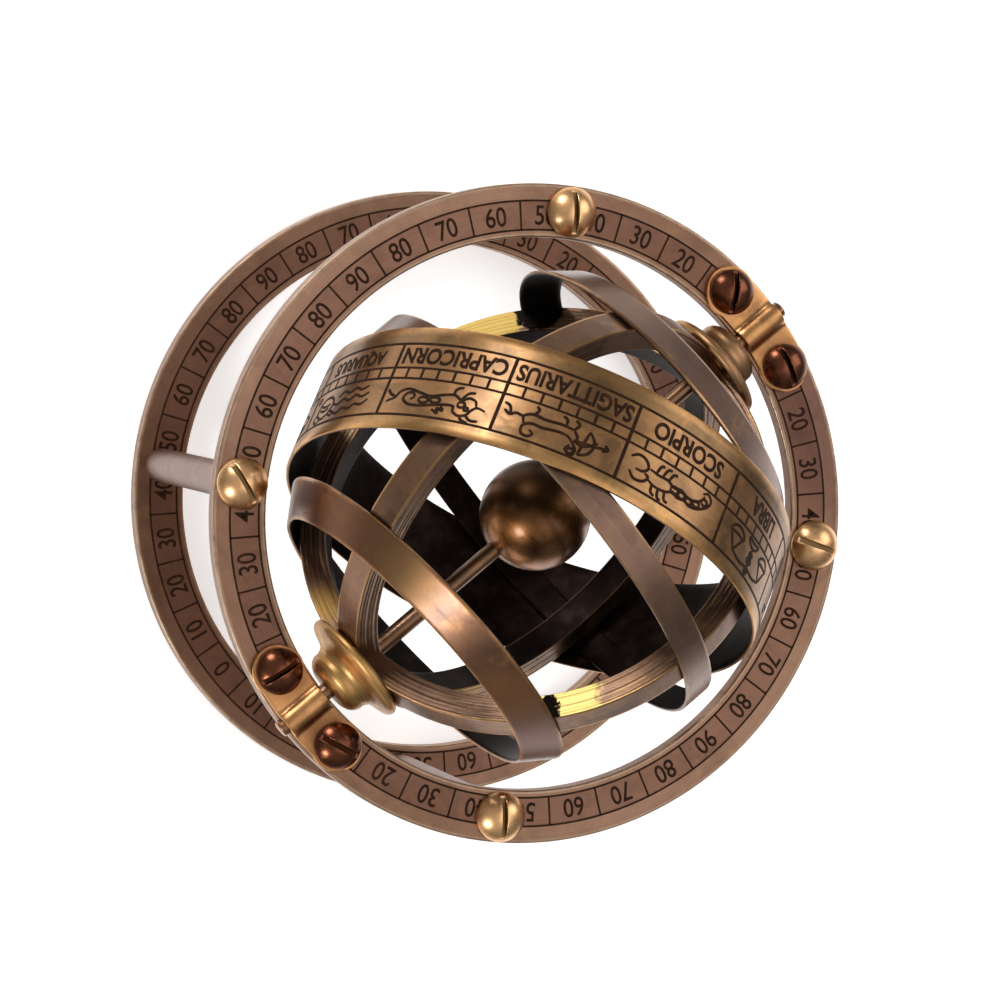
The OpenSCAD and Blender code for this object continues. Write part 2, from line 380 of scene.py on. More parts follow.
def put(tree, kind, links=(), **settings):
    """Adds a node, sets its own settings, and fills its inputs by name or number."""
    item = tree.nodes.new("ShaderNode" + kind)
    for key, value in settings.items():
        setattr(item, key, value)
    for key, value in dict(links).items():
        feed(tree, item.inputs[key], value)
    return item


def maths(tree, operation, a, b=0.0, c=0.0, clamp=False):
    """One Math node's result."""
    item = put(tree, "Math", {0: a, 1: b, 2: c}, operation=operation, use_clamp=clamp)
    return item.outputs[0]


def noise(tree, vector, scale, detail=4.0, rough=0.55, stretch=0.0):
    """One Noise Texture's value."""
    item = put(tree, "TexNoise", {"Vector": vector, "Scale": scale, "Detail": detail,
                                  "Roughness": rough, "Distortion": stretch})
    return item.outputs[0]


def ramp(tree, value, low, high, to_low=0.0, to_high=1.0):
    """Maps low..high to to_low..to_high smoothly and holds it there."""
    item = put(tree, "MapRange", {0: value, 1: low, 2: high, 3: to_low, 4: to_high},
               interpolation_type="SMOOTHSTEP", clamp=True)
    return item.outputs[0]


def blend(tree, factor, a, b, kind="MIX"):
    """Mixes two colours."""
    item = put(tree, "Mix", {0: factor, 6: a, 7: b}, data_type="RGBA", blend_type=kind)
    return item.outputs[2]


def shade(colour, factor):
    """A colour scaled in brightness, as four numbers."""
    return tuple(min(1.0, c * factor) for c in colour[:3]) + (1.0,)


def new_group(name, inputs, outputs):
    """An empty shader node group with named sockets."""
    group = bpy.data.node_groups.new(name, "ShaderNodeTree")
    for label, kind, value in inputs:
        socket = group.interface.new_socket(label, in_out="INPUT", socket_type="NodeSocket" + kind)
        if value is not None:
            socket.default_value = value
    for label, kind in outputs:
        group.interface.new_socket(label, in_out="OUTPUT", socket_type="NodeSocket" + kind)
    return group, group.nodes.new("NodeGroupInput"), group.nodes.new("NodeGroupOutput")


def mottle_group():
    """Aged brass: clouds of darker and lighter patina with small dark specks."""
    group, given, out = new_group(
        "aged mottle",
        [("Vector", "Vector", None), ("Size", "Float", 160.0),
         ("Base", "Color", (0.4, 0.25, 0.15, 1)), ("Dark", "Color", (0.1, 0.05, 0.03, 1)),
         ("Light", "Color", (0.6, 0.4, 0.2, 1)), ("Dark Amount", "Float", 0.5),
         ("Light Amount", "Float", 0.3)],
        [("Color", "Color"), ("Mask", "Float")])
    g = given.outputs
    cloud = noise(group, g["Vector"], g["Size"], 5.0, 0.6, 0.4)
    second = noise(group, g["Vector"], maths(group, "MULTIPLY", g["Size"], 2.7), 4.0, 0.6)
    specks = noise(group, g["Vector"], maths(group, "MULTIPLY", g["Size"], 14.0), 2.0, 0.5)
    dark = maths(group, "MULTIPLY", ramp(group, cloud, 0.42, 0.68), g["Dark Amount"], clamp=True)
    light = maths(group, "MULTIPLY", ramp(group, second, 0.50, 0.72), g["Light Amount"], clamp=True)
    speck = maths(group, "MULTIPLY", ramp(group, specks, 0.62, 0.74), g["Dark Amount"], clamp=True)
    colour = blend(group, dark, g["Base"], g["Dark"])
    colour = blend(group, light, colour, g["Light"])
    colour = blend(group, maths(group, "MULTIPLY", speck, 0.5), colour, g["Dark"])
    group.links.new(colour, out.inputs["Color"])
    group.links.new(dark, out.inputs["Mask"])
    return group


def grain_group():
    """Fine lines along a band or round a turned face: noise, quick across it and slow along it."""
    group, given, out = new_group(
        "turned grain",
        [("Vector", "Vector", None), ("Across", "Float", 0.0), ("Lines", "Float", 6.0),
         ("Along", "Float", 30.0)],
        [("Value", "Float")])
    g = given.outputs
    slow = put(group, "VectorMath", {0: g["Vector"], "Scale": g["Along"]}, operation="SCALE")
    fast = put(group, "CombineXYZ", {0: maths(group, "MULTIPLY", g["Across"], g["Lines"])})
    where = put(group, "VectorMath", {0: slow.outputs[0], 1: fast.outputs[0]}, operation="ADD")
    value = noise(group, where.outputs[0], 1.0, 3.0, 0.7)
    group.links.new(value, out.inputs["Value"])
    return group


def wear_group():
    """Edges rubbed down to brighter metal: the edge mask broken up by noise."""
    group, given, out = new_group(
        "worn edge",
        [("Vector", "Vector", None), ("Edge", "Float", 0.0), ("Amount", "Float", 0.7)],
        [("Mask", "Float")])
    g = given.outputs
    broken = noise(group, g["Vector"], 420.0, 3.0, 0.6)
    rubbed = maths(group, "MULTIPLY", g["Edge"], ramp(group, broken, 0.25, 0.62, 0.35, 1.0))
    group.links.new(maths(group, "MULTIPLY", rubbed, g["Amount"], clamp=True), out.inputs["Mask"])
    return group


def spot_group():
    """A ragged spot round a point of the piece: distance from it, pushed in and out by noise."""
    group, given, out = new_group(
        "ragged spot",
        [("Vector", "Vector", None), ("Middle", "Vector", None), ("Radius", "Float", 0.006),
         ("Ragged", "Float", 0.4), ("Soft", "Float", 0.15)],
        [("Mask", "Float")])
    g = given.outputs
    away = put(group, "VectorMath", {0: g["Vector"], 1: g["Middle"]}, operation="DISTANCE")
    share = maths(group, "DIVIDE", away.outputs["Value"], g["Radius"])
    edge = noise(group, g["Vector"], 480.0, 4.0, 0.65, 0.6)
    pushed = maths(group, "MULTIPLY_ADD", maths(group, "SUBTRACT", edge, 0.5),
                   maths(group, "MULTIPLY", g["Ragged"], 4.0), share)
    inner, outer = maths(group, "SUBTRACT", 1.0, g["Soft"]), maths(group, "ADD", 1.0, g["Soft"])
    group.links.new(ramp(group, pushed, inner, outer, 1.0, 0.0), out.inputs["Mask"])
    return group


def scratch_group():
    """Fine pits and hairline scratches, as a height."""
    group, given, out = new_group(
        "hairlines", [("Vector", "Vector", None), ("Size", "Float", 900.0)], [("Height", "Float")])
    g = given.outputs
    tilted = put(group, "Mapping", {0: g["Vector"], 2: (0.3, 0.8, 0.5), 3: (1.0, 0.06, 0.3)})
    hair = ramp(group, noise(group, tilted.outputs[0], g["Size"], 2.0, 0.5), 0.60, 0.74)
    pits = ramp(group, noise(group, g["Vector"], g["Size"], 2.0, 0.5), 0.64, 0.76)
    soft = noise(group, g["Vector"], maths(group, "MULTIPLY", g["Size"], 0.35), 3.0, 0.6)
    low = maths(group, "ADD", maths(group, "MULTIPLY", hair, -0.35),
                maths(group, "MULTIPLY", pits, -0.5))
    group.links.new(maths(group, "MULTIPLY_ADD", soft, 0.6, low), out.inputs["Height"])
    return group


GROUPS = {}


def group_node(tree, name, links):
    """Places one of the shared groups in a material, building it the first time."""
    makers = {"aged mottle": mottle_group, "turned grain": grain_group, "worn edge": wear_group,
              "ragged spot": spot_group, "hairlines": scratch_group}
    if name not in GROUPS:
        GROUPS[name] = makers[name]()
    item = tree.nodes.new("ShaderNodeGroup")
    item.node_tree = GROUPS[name]
    for key, value in links.items():
        feed(tree, item.inputs[key], value)
    return item.outputs


def attribute(tree, name):
    """A float attribute of the mesh."""
    return put(tree, "Attribute", attribute_name=name).outputs["Fac"]


def start_material(name):
    """A material with its output and Principled BSDF, and the Object coordinates."""
    material = bpy.data.materials.new(name)
    material.use_nodes = True
    tree = material.node_tree
    tree.nodes.clear()
    out = put(tree, "OutputMaterial")
    shader = put(tree, "BsdfPrincipled")
    tree.links.new(shader.outputs[0], out.inputs[0])
    where = put(tree, "TexCoord").outputs["Object"]
    return material, tree, shader, where


def finish_metal(tree, shader, colour, rough, height, bump=0.3, distance=0.00003, metallic=1.0):
    """Joins the finished colour, roughness and height to the metal's shader."""
    tree.links.new(colour, shader.inputs["Base Color"])
    tree.links.new(rough, shader.inputs["Roughness"])
    lift = put(tree, "Bump", {"Height": height, "Strength": bump, "Distance": distance})
    tree.links.new(lift.outputs[0], shader.inputs["Normal"])
    shader.inputs["Metallic"].default_value = metallic


def metal(name, base, dark=0.35, light=1.5, size=160.0, dark_amount=0.5, light_amount=0.3,
          rough=(0.30, 0.46), lines=0.0, wear=0.6, bump=0.25, inner=None, across="across",
          tint=(1.0, 0.92, 0.78), spots=(), has_edge=True, coat=0.5, rows=(), reach=None):
    """One aged metal: mottled colour, turned grain, rubbed edges, hairlines, and ragged spots.

    spots holds (middle and radius in millimetres, colour, roughness, raggedness, softness),
    Spots are stains and patches of tone, and in two places painted shade; a soft spot lets the
    rubbed edges and some of the mottling show through.
    A soft spot is a stain, which the rubbed edges and some of the mottling show through.
    """
    material, tree, shader, where = start_material(name)
    warm = tuple(b * light * t for b, t in zip(base, tint))
    mottled = group_node(tree, "aged mottle", {
        "Vector": where, "Size": size, "Base": shade(base, 1.0), "Dark": shade(base, dark),
        "Light": shade(warm, 1.0), "Dark Amount": dark_amount, "Light Amount": light_amount})
    colour = mottled["Color"]
    hair = group_node(tree, "hairlines", {"Vector": where, "Size": 900.0})["Height"]
    height, roughness = hair, ramp(tree, hair, -0.2, 0.6, rough[1], rough[0])
    for start, stop, tone in rows:
        place = attribute(tree, across)
        on_row = maths(tree, "MULTIPLY", ramp(tree, place, start - 0.05, start + 0.05),
                       ramp(tree, place, stop - 0.05, stop + 0.05, 1.0, 0.0))
        colour = blend(tree, on_row, colour, tuple(tone) + (1,), "MULTIPLY")
    if lines:
        grain = group_node(tree, "turned grain", {
            "Vector": where, "Across": attribute(tree, across), "Lines": lines,
            "Along": 25.0})["Value"]
        height = maths(tree, "MULTIPLY_ADD", grain, 1.3, hair)
        colour = blend(tree, ramp(tree, grain, 0.35, 0.65, 0.0, 0.30), colour, shade(base, 0.55))
        roughness = maths(tree, "MULTIPLY_ADD", grain, 0.12, roughness)
    if has_edge:
        worn = group_node(tree, "worn edge", {
            "Vector": where, "Edge": attribute(tree, "edge"), "Amount": wear})["Mask"]
        colour = blend(tree, worn, colour, shade(warm, 1.25))
        roughness = blend(tree, worn, roughness, (rough[0],) * 3 + (1,))
    gloss = coat
    # Inner faces take the near-black inside colour, patchy by noise: partly oxide and partly
    # painted shade inside the rings.
    if inner is not None:
        inside = attribute(tree, "inner")
        gloss = maths(tree, "MULTIPLY", coat, maths(tree, "SUBTRACT", 1.0, inside))
        patchy_oxide_and_shade = blend(tree, ramp(tree, noise(tree, where, 260.0, 4.0, 0.6), 0.4, 0.75),
                      tuple(inner) + (1,), shade(inner, 2.6))
        colour = blend(tree, inside, colour, patchy_oxide_and_shade)
        roughness = blend(tree, inside, roughness, (0.42, 0.42, 0.42, 1))
    for middle, radius, paint, spot_rough, ragged, soft in spots:
        mask = group_node(tree, "ragged spot", {
            "Vector": where, "Middle": tuple(np.asarray(middle) * MM), "Radius": radius * MM,
            "Ragged": ragged, "Soft": soft})["Mask"]
        if inner is not None:
            mask = maths(tree, "MULTIPLY", mask, maths(tree, "SUBTRACT", 1.0, inside))
        if has_edge and soft >= 0.5:
            mask = maths(tree, "MULTIPLY", mask, maths(tree, "MULTIPLY_ADD", worn, -0.6, 0.82))
        if reach is not None:
            on_face = ramp(tree, attribute(tree, across), reach, reach + 0.1, 1.0, 0.0)
            mask = maths(tree, "MULTIPLY", mask, on_face)
        colour = blend(tree, mask, colour, tuple(paint) + (1,))
        roughness = blend(tree, mask, roughness, (spot_rough,) * 3 + (1,))
        gloss = maths(tree, "MULTIPLY", gloss, maths(tree, "SUBTRACT", 1.0, mask))
    finish_metal(tree, shader, colour, roughness, height, bump)
    feed(tree, shader.inputs["Coat Weight"], gloss)
    shader.inputs["Coat Roughness"].default_value = 0.22
    return material


# ------------------------------------------------------------------- dials

def groove_drop(y):
    """Height of a half-round groove's floor at y, -sqrt(r^2 - y^2), and far above outside it."""
    floor = -np.sqrt(np.maximum(GROOVE_R ** 2 - y * y, 0.0))
    return np.where(np.abs(y) <= GROOVE_R, floor, 99.0)


def dial_ring(face, grooved):
    """A flat ring with rounded corners; a grooved one also has the axle's two half-round grooves.

    Point (i, j) lies on column i and profile point j. Far from the grooves a
    column is radial. Close to them its y is the same at every radius, so that
    the columns run along the groove, and no point is higher than its floor.
    """
    r0, r1 = DIAL_R - DIAL_W, DIAL_R
    profile, edge = rounded([[r0, -DIAL_T], [r1, -DIAL_T], [r1, 0], [r0, 0]], 0.45, 5)
    groove = GROOVE_R * np.sin(np.radians(np.linspace(-90, 90, 21)))
    near = np.concatenate([[-3.4, -2.6, -2.0, -1.7, -1.58], groove, [1.58, 1.7, 2.0, 2.6, 3.4]])
    near_a = np.arcsin(near / MID_R)
    wide_a = np.linspace(math.radians(4.6), math.pi - math.radians(4.6), 151)
    a = np.concatenate([near_a, wide_a, near_a + math.pi, wide_a + math.pi])[:, None]
    y_mid = MID_R * np.sin(a)
    r, h = profile[:, 0][None, :], profile[:, 1][None, :]
    keep = np.clip((6.5 - np.abs(y_mid)) / 3.0, 0, 1)
    y = y_mid * (keep + (1 - keep) * r / MID_R)
    x = np.sign(np.cos(a)) * np.sqrt(np.maximum(r * r - y * y, 0))
    z = h + 0 * a
    if grooved:
        z = np.minimum(z, np.maximum(groove_drop(y_mid), -DIAL_T + 0.5))
    points = np.stack([x, y, z + face], axis=-1).reshape(-1, 3)
    return points, [grid(len(a), len(profile))], np.tile(edge, len(a))


def dial_lettering(face, props):
    """Circles, dividers and numbers of a dial, as thin plates sunk in its face.

    A number's plate goes from (u, v) to (m + v) r + u s, where r points
    outwards at its angle, s is clockwise from it and m is the row's middle.
    """
    low, high = -0.06, props.proud / MM
    inner, outer = props.line_inner / MM, props.line_outer / MM
    width, row = props.line_width / MM, (inner + outer) / 2
    parts = []
    a = np.linspace(0, 2 * np.pi, 360, endpoint=False)
    for radius in (inner, outer):
        line = radius * np.column_stack([np.cos(a), np.sin(a)])
        parts.append(plate(*stroke(line, width, closed=True), low, high))
    bar = plate(*stroke([[inner, 0], [outer, 0]], width), low, high)
    for k in range(36):
        parts.append((bar[0] @ turned("Z", math.radians(10 * k + 5)).T, bar[1]))
    size = props.number_height / MM
    shapes = {}
    for n in range(0, 100, 10):
        flat, faces = lettering(str(n), 0.012)
        shapes[n] = plate(flat * [size * 0.84, size], faces, low, high)
    for k in range(36):
        n = abs((10 * k + 90) % 180 - 90)
        p, faces = shapes[n]
        upright = np.column_stack([row + p[:, 1], -p[:, 0], p[:, 2]])
        parts.append((upright @ turned("Z", math.radians(10 * k)).T, faces))
    points, faces = merged(parts)
    return points + [0, 0, face], faces


def dial_metal(colour):
    """Aged dial brass: a redder etched row, brushed margins, rubbed edges, and sides darkened
    towards the saddles as painted shade.
    """
    material, tree, shader, where = start_material("dial brass")
    base = tuple(colour)
    mottled = group_node(tree, "aged mottle", {
        "Vector": where, "Size": 120.0, "Base": shade(base, 1.0), "Dark": shade(base, 0.62),
        "Light": shade((base[0] * 1.25, base[1] * 1.2, base[2] * 1.05), 1.0),
        "Dark Amount": 0.55, "Light Amount": 0.5})
    part = put(tree, "SeparateXYZ", {0: where}).outputs
    radius = maths(tree, "SQRT", maths(tree, "ADD", maths(tree, "POWER", part[0], 2.0),
                                       maths(tree, "POWER", part[1], 2.0)))
    millimetres = maths(tree, "MULTIPLY", radius, 1000.0)
    row = maths(tree, "MULTIPLY", ramp(tree, millimetres, 49.35, 49.55),
                ramp(tree, millimetres, 54.4, 54.6, 1.0, 0.0))
    grain = group_node(tree, "turned grain", {
        "Vector": where, "Across": millimetres, "Lines": 7.0, "Along": 30.0})["Value"]
    hair = group_node(tree, "hairlines", {"Vector": where, "Size": 800.0})["Height"]
    colour = blend(tree, row, mottled["Color"], (0.84, 0.76, 0.77, 1), "MULTIPLY")
    colour = blend(tree, ramp(tree, grain, 0.35, 0.68, 0.0, 0.28), colour, shade(base, 0.5))
    # Painted shade: each dial darkens towards ±X, by the saddles, in place of the brushed sheen
    # falling off there.
    painted_side_shade = ramp(tree, maths(tree, "ABSOLUTE", part[0]), 0.020, 0.056, 0.0, 0.75)
    colour = blend(tree, painted_side_shade, colour, (0.68, 0.63, 0.60, 1), "MULTIPLY")
    colour = blend(tree, maths(tree, "MULTIPLY", ramp(tree, part[0], 0.038, 0.048),
                               ramp(tree, part[1], -0.020, 0.005, 1.0, 0.0)),
                   colour, (0.74, 0.72, 0.80, 1), "MULTIPLY")
    worn = group_node(tree, "worn edge", {
        "Vector": where, "Edge": attribute(tree, "edge"), "Amount": 0.75})["Mask"]
    colour = blend(tree, worn, colour, (0.62, 0.44, 0.30, 1))
    rough = maths(tree, "MULTIPLY_ADD", row, 0.08, ramp(tree, hair, -0.2, 0.6, 0.42, 0.30))
    rough = maths(tree, "MULTIPLY_ADD", grain, 0.10, rough)
    height = maths(tree, "MULTIPLY_ADD", grain, 1.0, hair)
    finish_metal(tree, shader, colour, rough, height, 0.45)
    return material


def fill_paint(name, colour):
    """Dark fill in etched lines: dull, slightly patchy, worn a little brown."""
    material, tree, shader, where = start_material(name)
    patch = noise(tree, where, 420.0, 4.0, 0.6)
    tone = blend(tree, ramp(tree, patch, 0.45, 0.75, 0.0, 0.7), shade(colour, 1.0),
                 shade(colour, 2.8))
    rough = ramp(tree, patch, 0.3, 0.7, 0.45, 0.62)
    height = noise(tree, where, 1500.0, 2.0, 0.5)
    finish_metal(tree, shader, tone, rough, height, 0.2, 0.00002, 0.0)
    shader.inputs["Specular IOR Level"].default_value = 0.08
    return material


class ARMILLARY_OT_dials(bpy.types.Operator):
    """Both dial rings with their etched circles, dividers and numbers"""
    bl_idname = "armillary.dials"
    bl_label = "Dial rings"

    def execute(self, context):
        props, finish = context.scene.armillary_dials, context.scene.armillary_finish
        brass, fill = dial_metal(finish.dial), fill_paint("dial fill", finish.fill)
        for name, node, face, grooved in (("top_dial", "top_ring", TOP_FACE, True),
                                          ("base_dial", "base_ring", BASE_FACE, False)):
            points, faces, edge = dial_ring(face, grooved)
            make_piece(name, points, faces, "stand", "dial_brass", brass, [node], 40, edge=edge)
            points, faces = dial_lettering(face, props)
            make_piece(name + "_etching", points, faces, "stand", "dial_brass", fill)
        return {"FINISHED"}


# ------------------------------------------------------ pillars and screws

class ARMILLARY_OT_pillars(bpy.types.Operator):
    """The four plain pillars between the dial rings"""
    bl_idname = "armillary.pillars"
    bl_label = "Pillars"

    def execute(self, context):
        low, high = cad("pillar_1")
        r, rows, steps = PILLAR_R, 24, 64
        side = np.linspace(low[2] + 0.3, high[2] - 0.3, rows)
        profile = np.vstack([[0, low[2]], [r - 0.25, low[2]], [r - 0.08, low[2] + 0.06],
                             np.column_stack([np.full(rows, r), side]),
                             [r - 0.08, high[2] - 0.06], [r - 0.25, high[2]], [0, high[2]]])
        points, faces = revolve_solid(profile, steps)
        edge = np.zeros(len(profile) - 2)
        edge[[1, 2, -3, -2]] = 0.8
        edge = np.concatenate([np.tile(edge, steps), [0, 0]])
        across = np.concatenate([np.tile(profile[1:-1, 1], steps), [0, 0]])
        parts = []
        for turn in PILLAR_TURNS:
            parts.append(((points + [MID_R, 0, 0]) @ turned("Z", math.radians(turn)).T, faces))
        points, faces = merged(parts)
        material = metal("pillar brass", (0.275, 0.17, 0.14), dark=0.55, light=1.3, size=110.0,
                         dark_amount=0.5, rough=(0.30, 0.44), lines=5.0, wear=0.6, bump=0.15,
                         coat=0.1)
        make_piece("pillar_rods", points, faces, "stand", "pillar_brass", material,
                   ["pillar_1", "pillar_2", "pillar_3", "pillar_4"], 40,
                   edge=np.tile(edge, 4), across=np.tile(across, 4))
        return {"FINISHED"}


def screw_head(diameter, height, slot_width, slot_depth, rim=0.9):
    """A slotted domed head, its seat on z = 0.

    The top is a grid of rows along the slot: z is the dome sqrt(c^2 - x^2 - y^2)
    less c - height, rounded down at the slot's edges, and the slot's floor
    inside it where that is lower. A side wall and a seat close it.
    """
    r = diameter / 2
    c = (r * r + (height - rim) ** 2) / (2 * (height - rim))
    floor, h = height - slot_depth, slot_width / 2
    outer = np.sin(np.radians(np.linspace(0, 90, 19)))[1:-1]
    y_out = h + 0.22 + (r - h - 0.22) * outer
    drop_out = np.zeros(len(y_out))
    y_edge = np.array([h, h + 0.015, h + 0.05, h + 0.11, h + 0.22])
    drop_edge = np.array([0.11, 0.06, 0.025, 0.006, 0.0])
    y_in = np.array([0.0, h * 0.5, h - 0.10, h - 0.03, h])
    lift_in = np.array([0.0, 0.0, 0.0, 0.03, 0.10])
    y = np.concatenate([y_in, y_edge, y_out])
    is_slot = np.concatenate([np.ones(5), np.zeros(5 + len(y_out))])
    shift = np.concatenate([lift_in, drop_edge, drop_out])
    edge = np.concatenate([[0, 0, 0, 0, 0.3], [1.0, 1.0, 0.9, 0.4, 0.0], drop_out])
    y = np.concatenate([-y[:0:-1], y])
    is_slot, shift = (np.concatenate([v[:0:-1], v]) for v in (is_slot, shift))
    edge = np.concatenate([edge[:0:-1], edge])
    half = np.sqrt(r * r - y * y)
    crease = np.sqrt(np.maximum(c * c - (c - slot_depth) ** 2 - np.minimum(y * y, h * h), 0.0))
    crease = np.minimum(crease, 0.9 * half)
    s = np.linspace(0, 1, 13)
    inner = np.concatenate([s[:-1] * 0.97, [0.97, 1.0]])
    tail = np.array([0.15, 0.35, 0.6, 0.85, 0.95, 1.0])
    x = np.hstack([crease[:, None] * inner, crease[:, None] + (half - crease)[:, None] * tail])
    x = np.hstack([-x[:, :0:-1], x])
    dome = np.sqrt(np.maximum(c * c - x * x - (y * y)[:, None], 0)) - (c - height)
    cut = np.minimum(dome - 0.03 * is_slot[:, None], (floor + shift)[:, None])
    z = np.where(is_slot[:, None] > 0, cut, dome - shift[:, None])
    z = np.maximum(z, rim * 0.98)
    rows, cols = x.shape
    top = np.stack([x, y[:, None] + 0 * x, z], axis=-1).reshape(-1, 3)
    ends = np.array([[0, -r, rim], [0, r, rim]])
    right = np.arange(rows) * cols + cols - 1
    left = np.arange(rows) * cols
    loop = np.concatenate([[rows * cols], right, [rows * cols + 1], left[::-1]])
    points = np.vstack([top, ends])
    n = len(loop)
    rim_points = points[loop]
    flat = rim_points * [1, 1, 0]
    wall = np.vstack([flat + [0, 0, rim - 0.25], flat + [0, 0, 0.18], flat * [0.975, 0.975, 1]])
    start = len(points)
    points = np.vstack([points, wall, [[0, 0, 0]]])
    k, k2 = np.arange(n), (np.arange(n) + 1) % n
    quads = [np.stack([np.arange(rows - 1)[:, None] * cols + np.arange(cols - 1),
                       np.arange(rows - 1)[:, None] * cols + np.arange(1, cols),
                       np.arange(1, rows)[:, None] * cols + np.arange(1, cols),
                       np.arange(1, rows)[:, None] * cols + np.arange(cols - 1)],
                      axis=-1).reshape(-1, 4)]
    quads.append(np.stack([loop[k], start + k, start + k2, loop[k2]], axis=-1))
    for ring in (0, 1):
        a, b = start + ring * n, start + (ring + 1) * n
        quads.append(np.stack([a + k, b + k, b + k2, a + k2], axis=-1))
    seat = np.stack([start + 2 * n + k, np.full(n, len(points) - 1), start + 2 * n + k2], axis=-1)
    j = np.arange(cols - 1)
    first = np.stack([np.full(cols - 1, rows * cols), j + 1, j], axis=-1)
    last = np.stack([(rows - 1) * cols + j, (rows - 1) * cols + j + 1,
                     np.full(cols - 1, rows * cols + 1)], axis=-1)
    lip = np.tile(edge[:, None], (1, cols))
    lip[:, [0, -1]] = 0.9
    marks = np.concatenate([lip.reshape(-1), [0.9, 0.9], np.full(n, 0.35), np.zeros(2 * n + 1)])
    deep = np.tile(is_slot[:, None], (1, cols)) * (z < dome - 0.3)
    deep = np.concatenate([deep.reshape(-1), np.zeros(2 + 3 * n + 1)])
    return points, [np.vstack(quads), np.vstack([seat, first, last])], marks, deep


def screw_set(head, places, turned_over=False):
    """Copies of a head: each place is (angle of its radius, height of its seat, slot's turn)."""
    points, faces, edge, deep = head
    parts = []
    for angle, seat, slot_turn in places:
        p = points @ turned("Z", math.radians(slot_turn)).T
        f = faces
        if turned_over:
            p, f = p * [1, 1, -1], [b[:, ::-1] for b in faces]
        p = (p + [MID_R, 0, seat]) @ turned("Z", math.radians(angle)).T
        parts.append((p, f))
    points, faces = merged(parts)
    return points, faces, np.tile(edge, len(places)), np.tile(deep, len(places))


def screw_metal(name, base, dark, rough, size, coat):
    """Turned brass heads: the deep part of the slot darkened, rubbed slot edges and rim, small
    pits.
    """
    material, tree, shader, where = start_material(name)
    base = tuple(base)
    mottled = group_node(tree, "aged mottle", {
        "Vector": where, "Size": size, "Base": shade(base, 1.0), "Dark": shade(base, dark),
        "Light": shade((base[0] * 1.5, base[1] * 1.35, base[2] * 1.1), 1.0),
        "Dark Amount": 0.5, "Light Amount": 0.5})
    hair = group_node(tree, "hairlines", {"Vector": where, "Size": 700.0})["Height"]
    deep_slot_dark = attribute(tree, "deep")
    worn = group_node(tree, "worn edge", {
        "Vector": where, "Edge": attribute(tree, "edge"), "Amount": 0.8})["Mask"]
    colour = blend(tree, worn, mottled["Color"],
                   shade((base[0] * 1.7, base[1] * 1.6, base[2] * 1.5), 1.0))
    # The deep part of each slot is darkened to a tenth of the base colour and loses its coat.
    colour = blend(tree, maths(tree, "MULTIPLY", deep_slot_dark, 0.9), colour, shade(base, 0.10))
    rough_value = ramp(tree, hair, -0.3, 0.6, rough[1], rough[0])
    finish_metal(tree, shader, colour, rough_value, hair, 0.35, 0.00005)
    tree.links.new(maths(tree, "MULTIPLY", maths(tree, "SUBTRACT", 1.0, deep_slot_dark), coat),
                   shader.inputs["Coat Weight"])
    shader.inputs["Coat Roughness"].default_value = 0.18
    return material


class ARMILLARY_OT_screws(bpy.types.Operator):
    """Pillar screws above and below, and the four saddle screws"""
    bl_idname = "armillary.screws"
    bl_label = "Screws"

    def execute(self, context):
        props, finish = context.scene.armillary_screws, context.scene.armillary_finish
        width, depth = props.slot_width / MM, props.slot_depth / MM
        bright = screw_metal("screw brass", finish.screw, 0.5, (0.28, 0.44), 260.0, 0.4)
        brown = screw_metal("screw bronze", (0.16, 0.050, 0.022), 0.4, (0.22, 0.36), 260.0, 0.22)
        big = screw_head(8.8, 3.4, width, depth)
        small = screw_head(8.0, 2.9, width, depth)
        top = [(a, TOP_FACE, t) for a, t in zip(PILLAR_TURNS, (7, 127, 7, 167))]
        base = [(a, BASE_LOW[2], -t) for a, t in zip(PILLAR_TURNS, (35, 100, 10, 75))]
        side = [(a, TOP_FACE + SADDLE_T, t) for a, t in zip(
            (-SADDLE_TURN, SADDLE_TURN, 180 - SADDLE_TURN, 180 + SADDLE_TURN), (85, 35, 2, 103))]
        for name, head, places, over, slot, paint, node in (
                ("top_screw_heads", big, top, False, "bright_brass", bright, "top_screws"),
                ("base_screw_heads", big, base, True, "bright_brass", bright, "base_screws"),
                ("saddle_screw_heads", small, side, False, "dark_bronze", brown, "saddle_screws")):
            points, faces, edge, deep = screw_set(head, places, over)
            make_piece(name, points, faces, "stand", slot, paint, [node], 32, edge=edge, deep=deep)
        return {"FINISHED"}


# ----------------------------------------------------------------- saddles

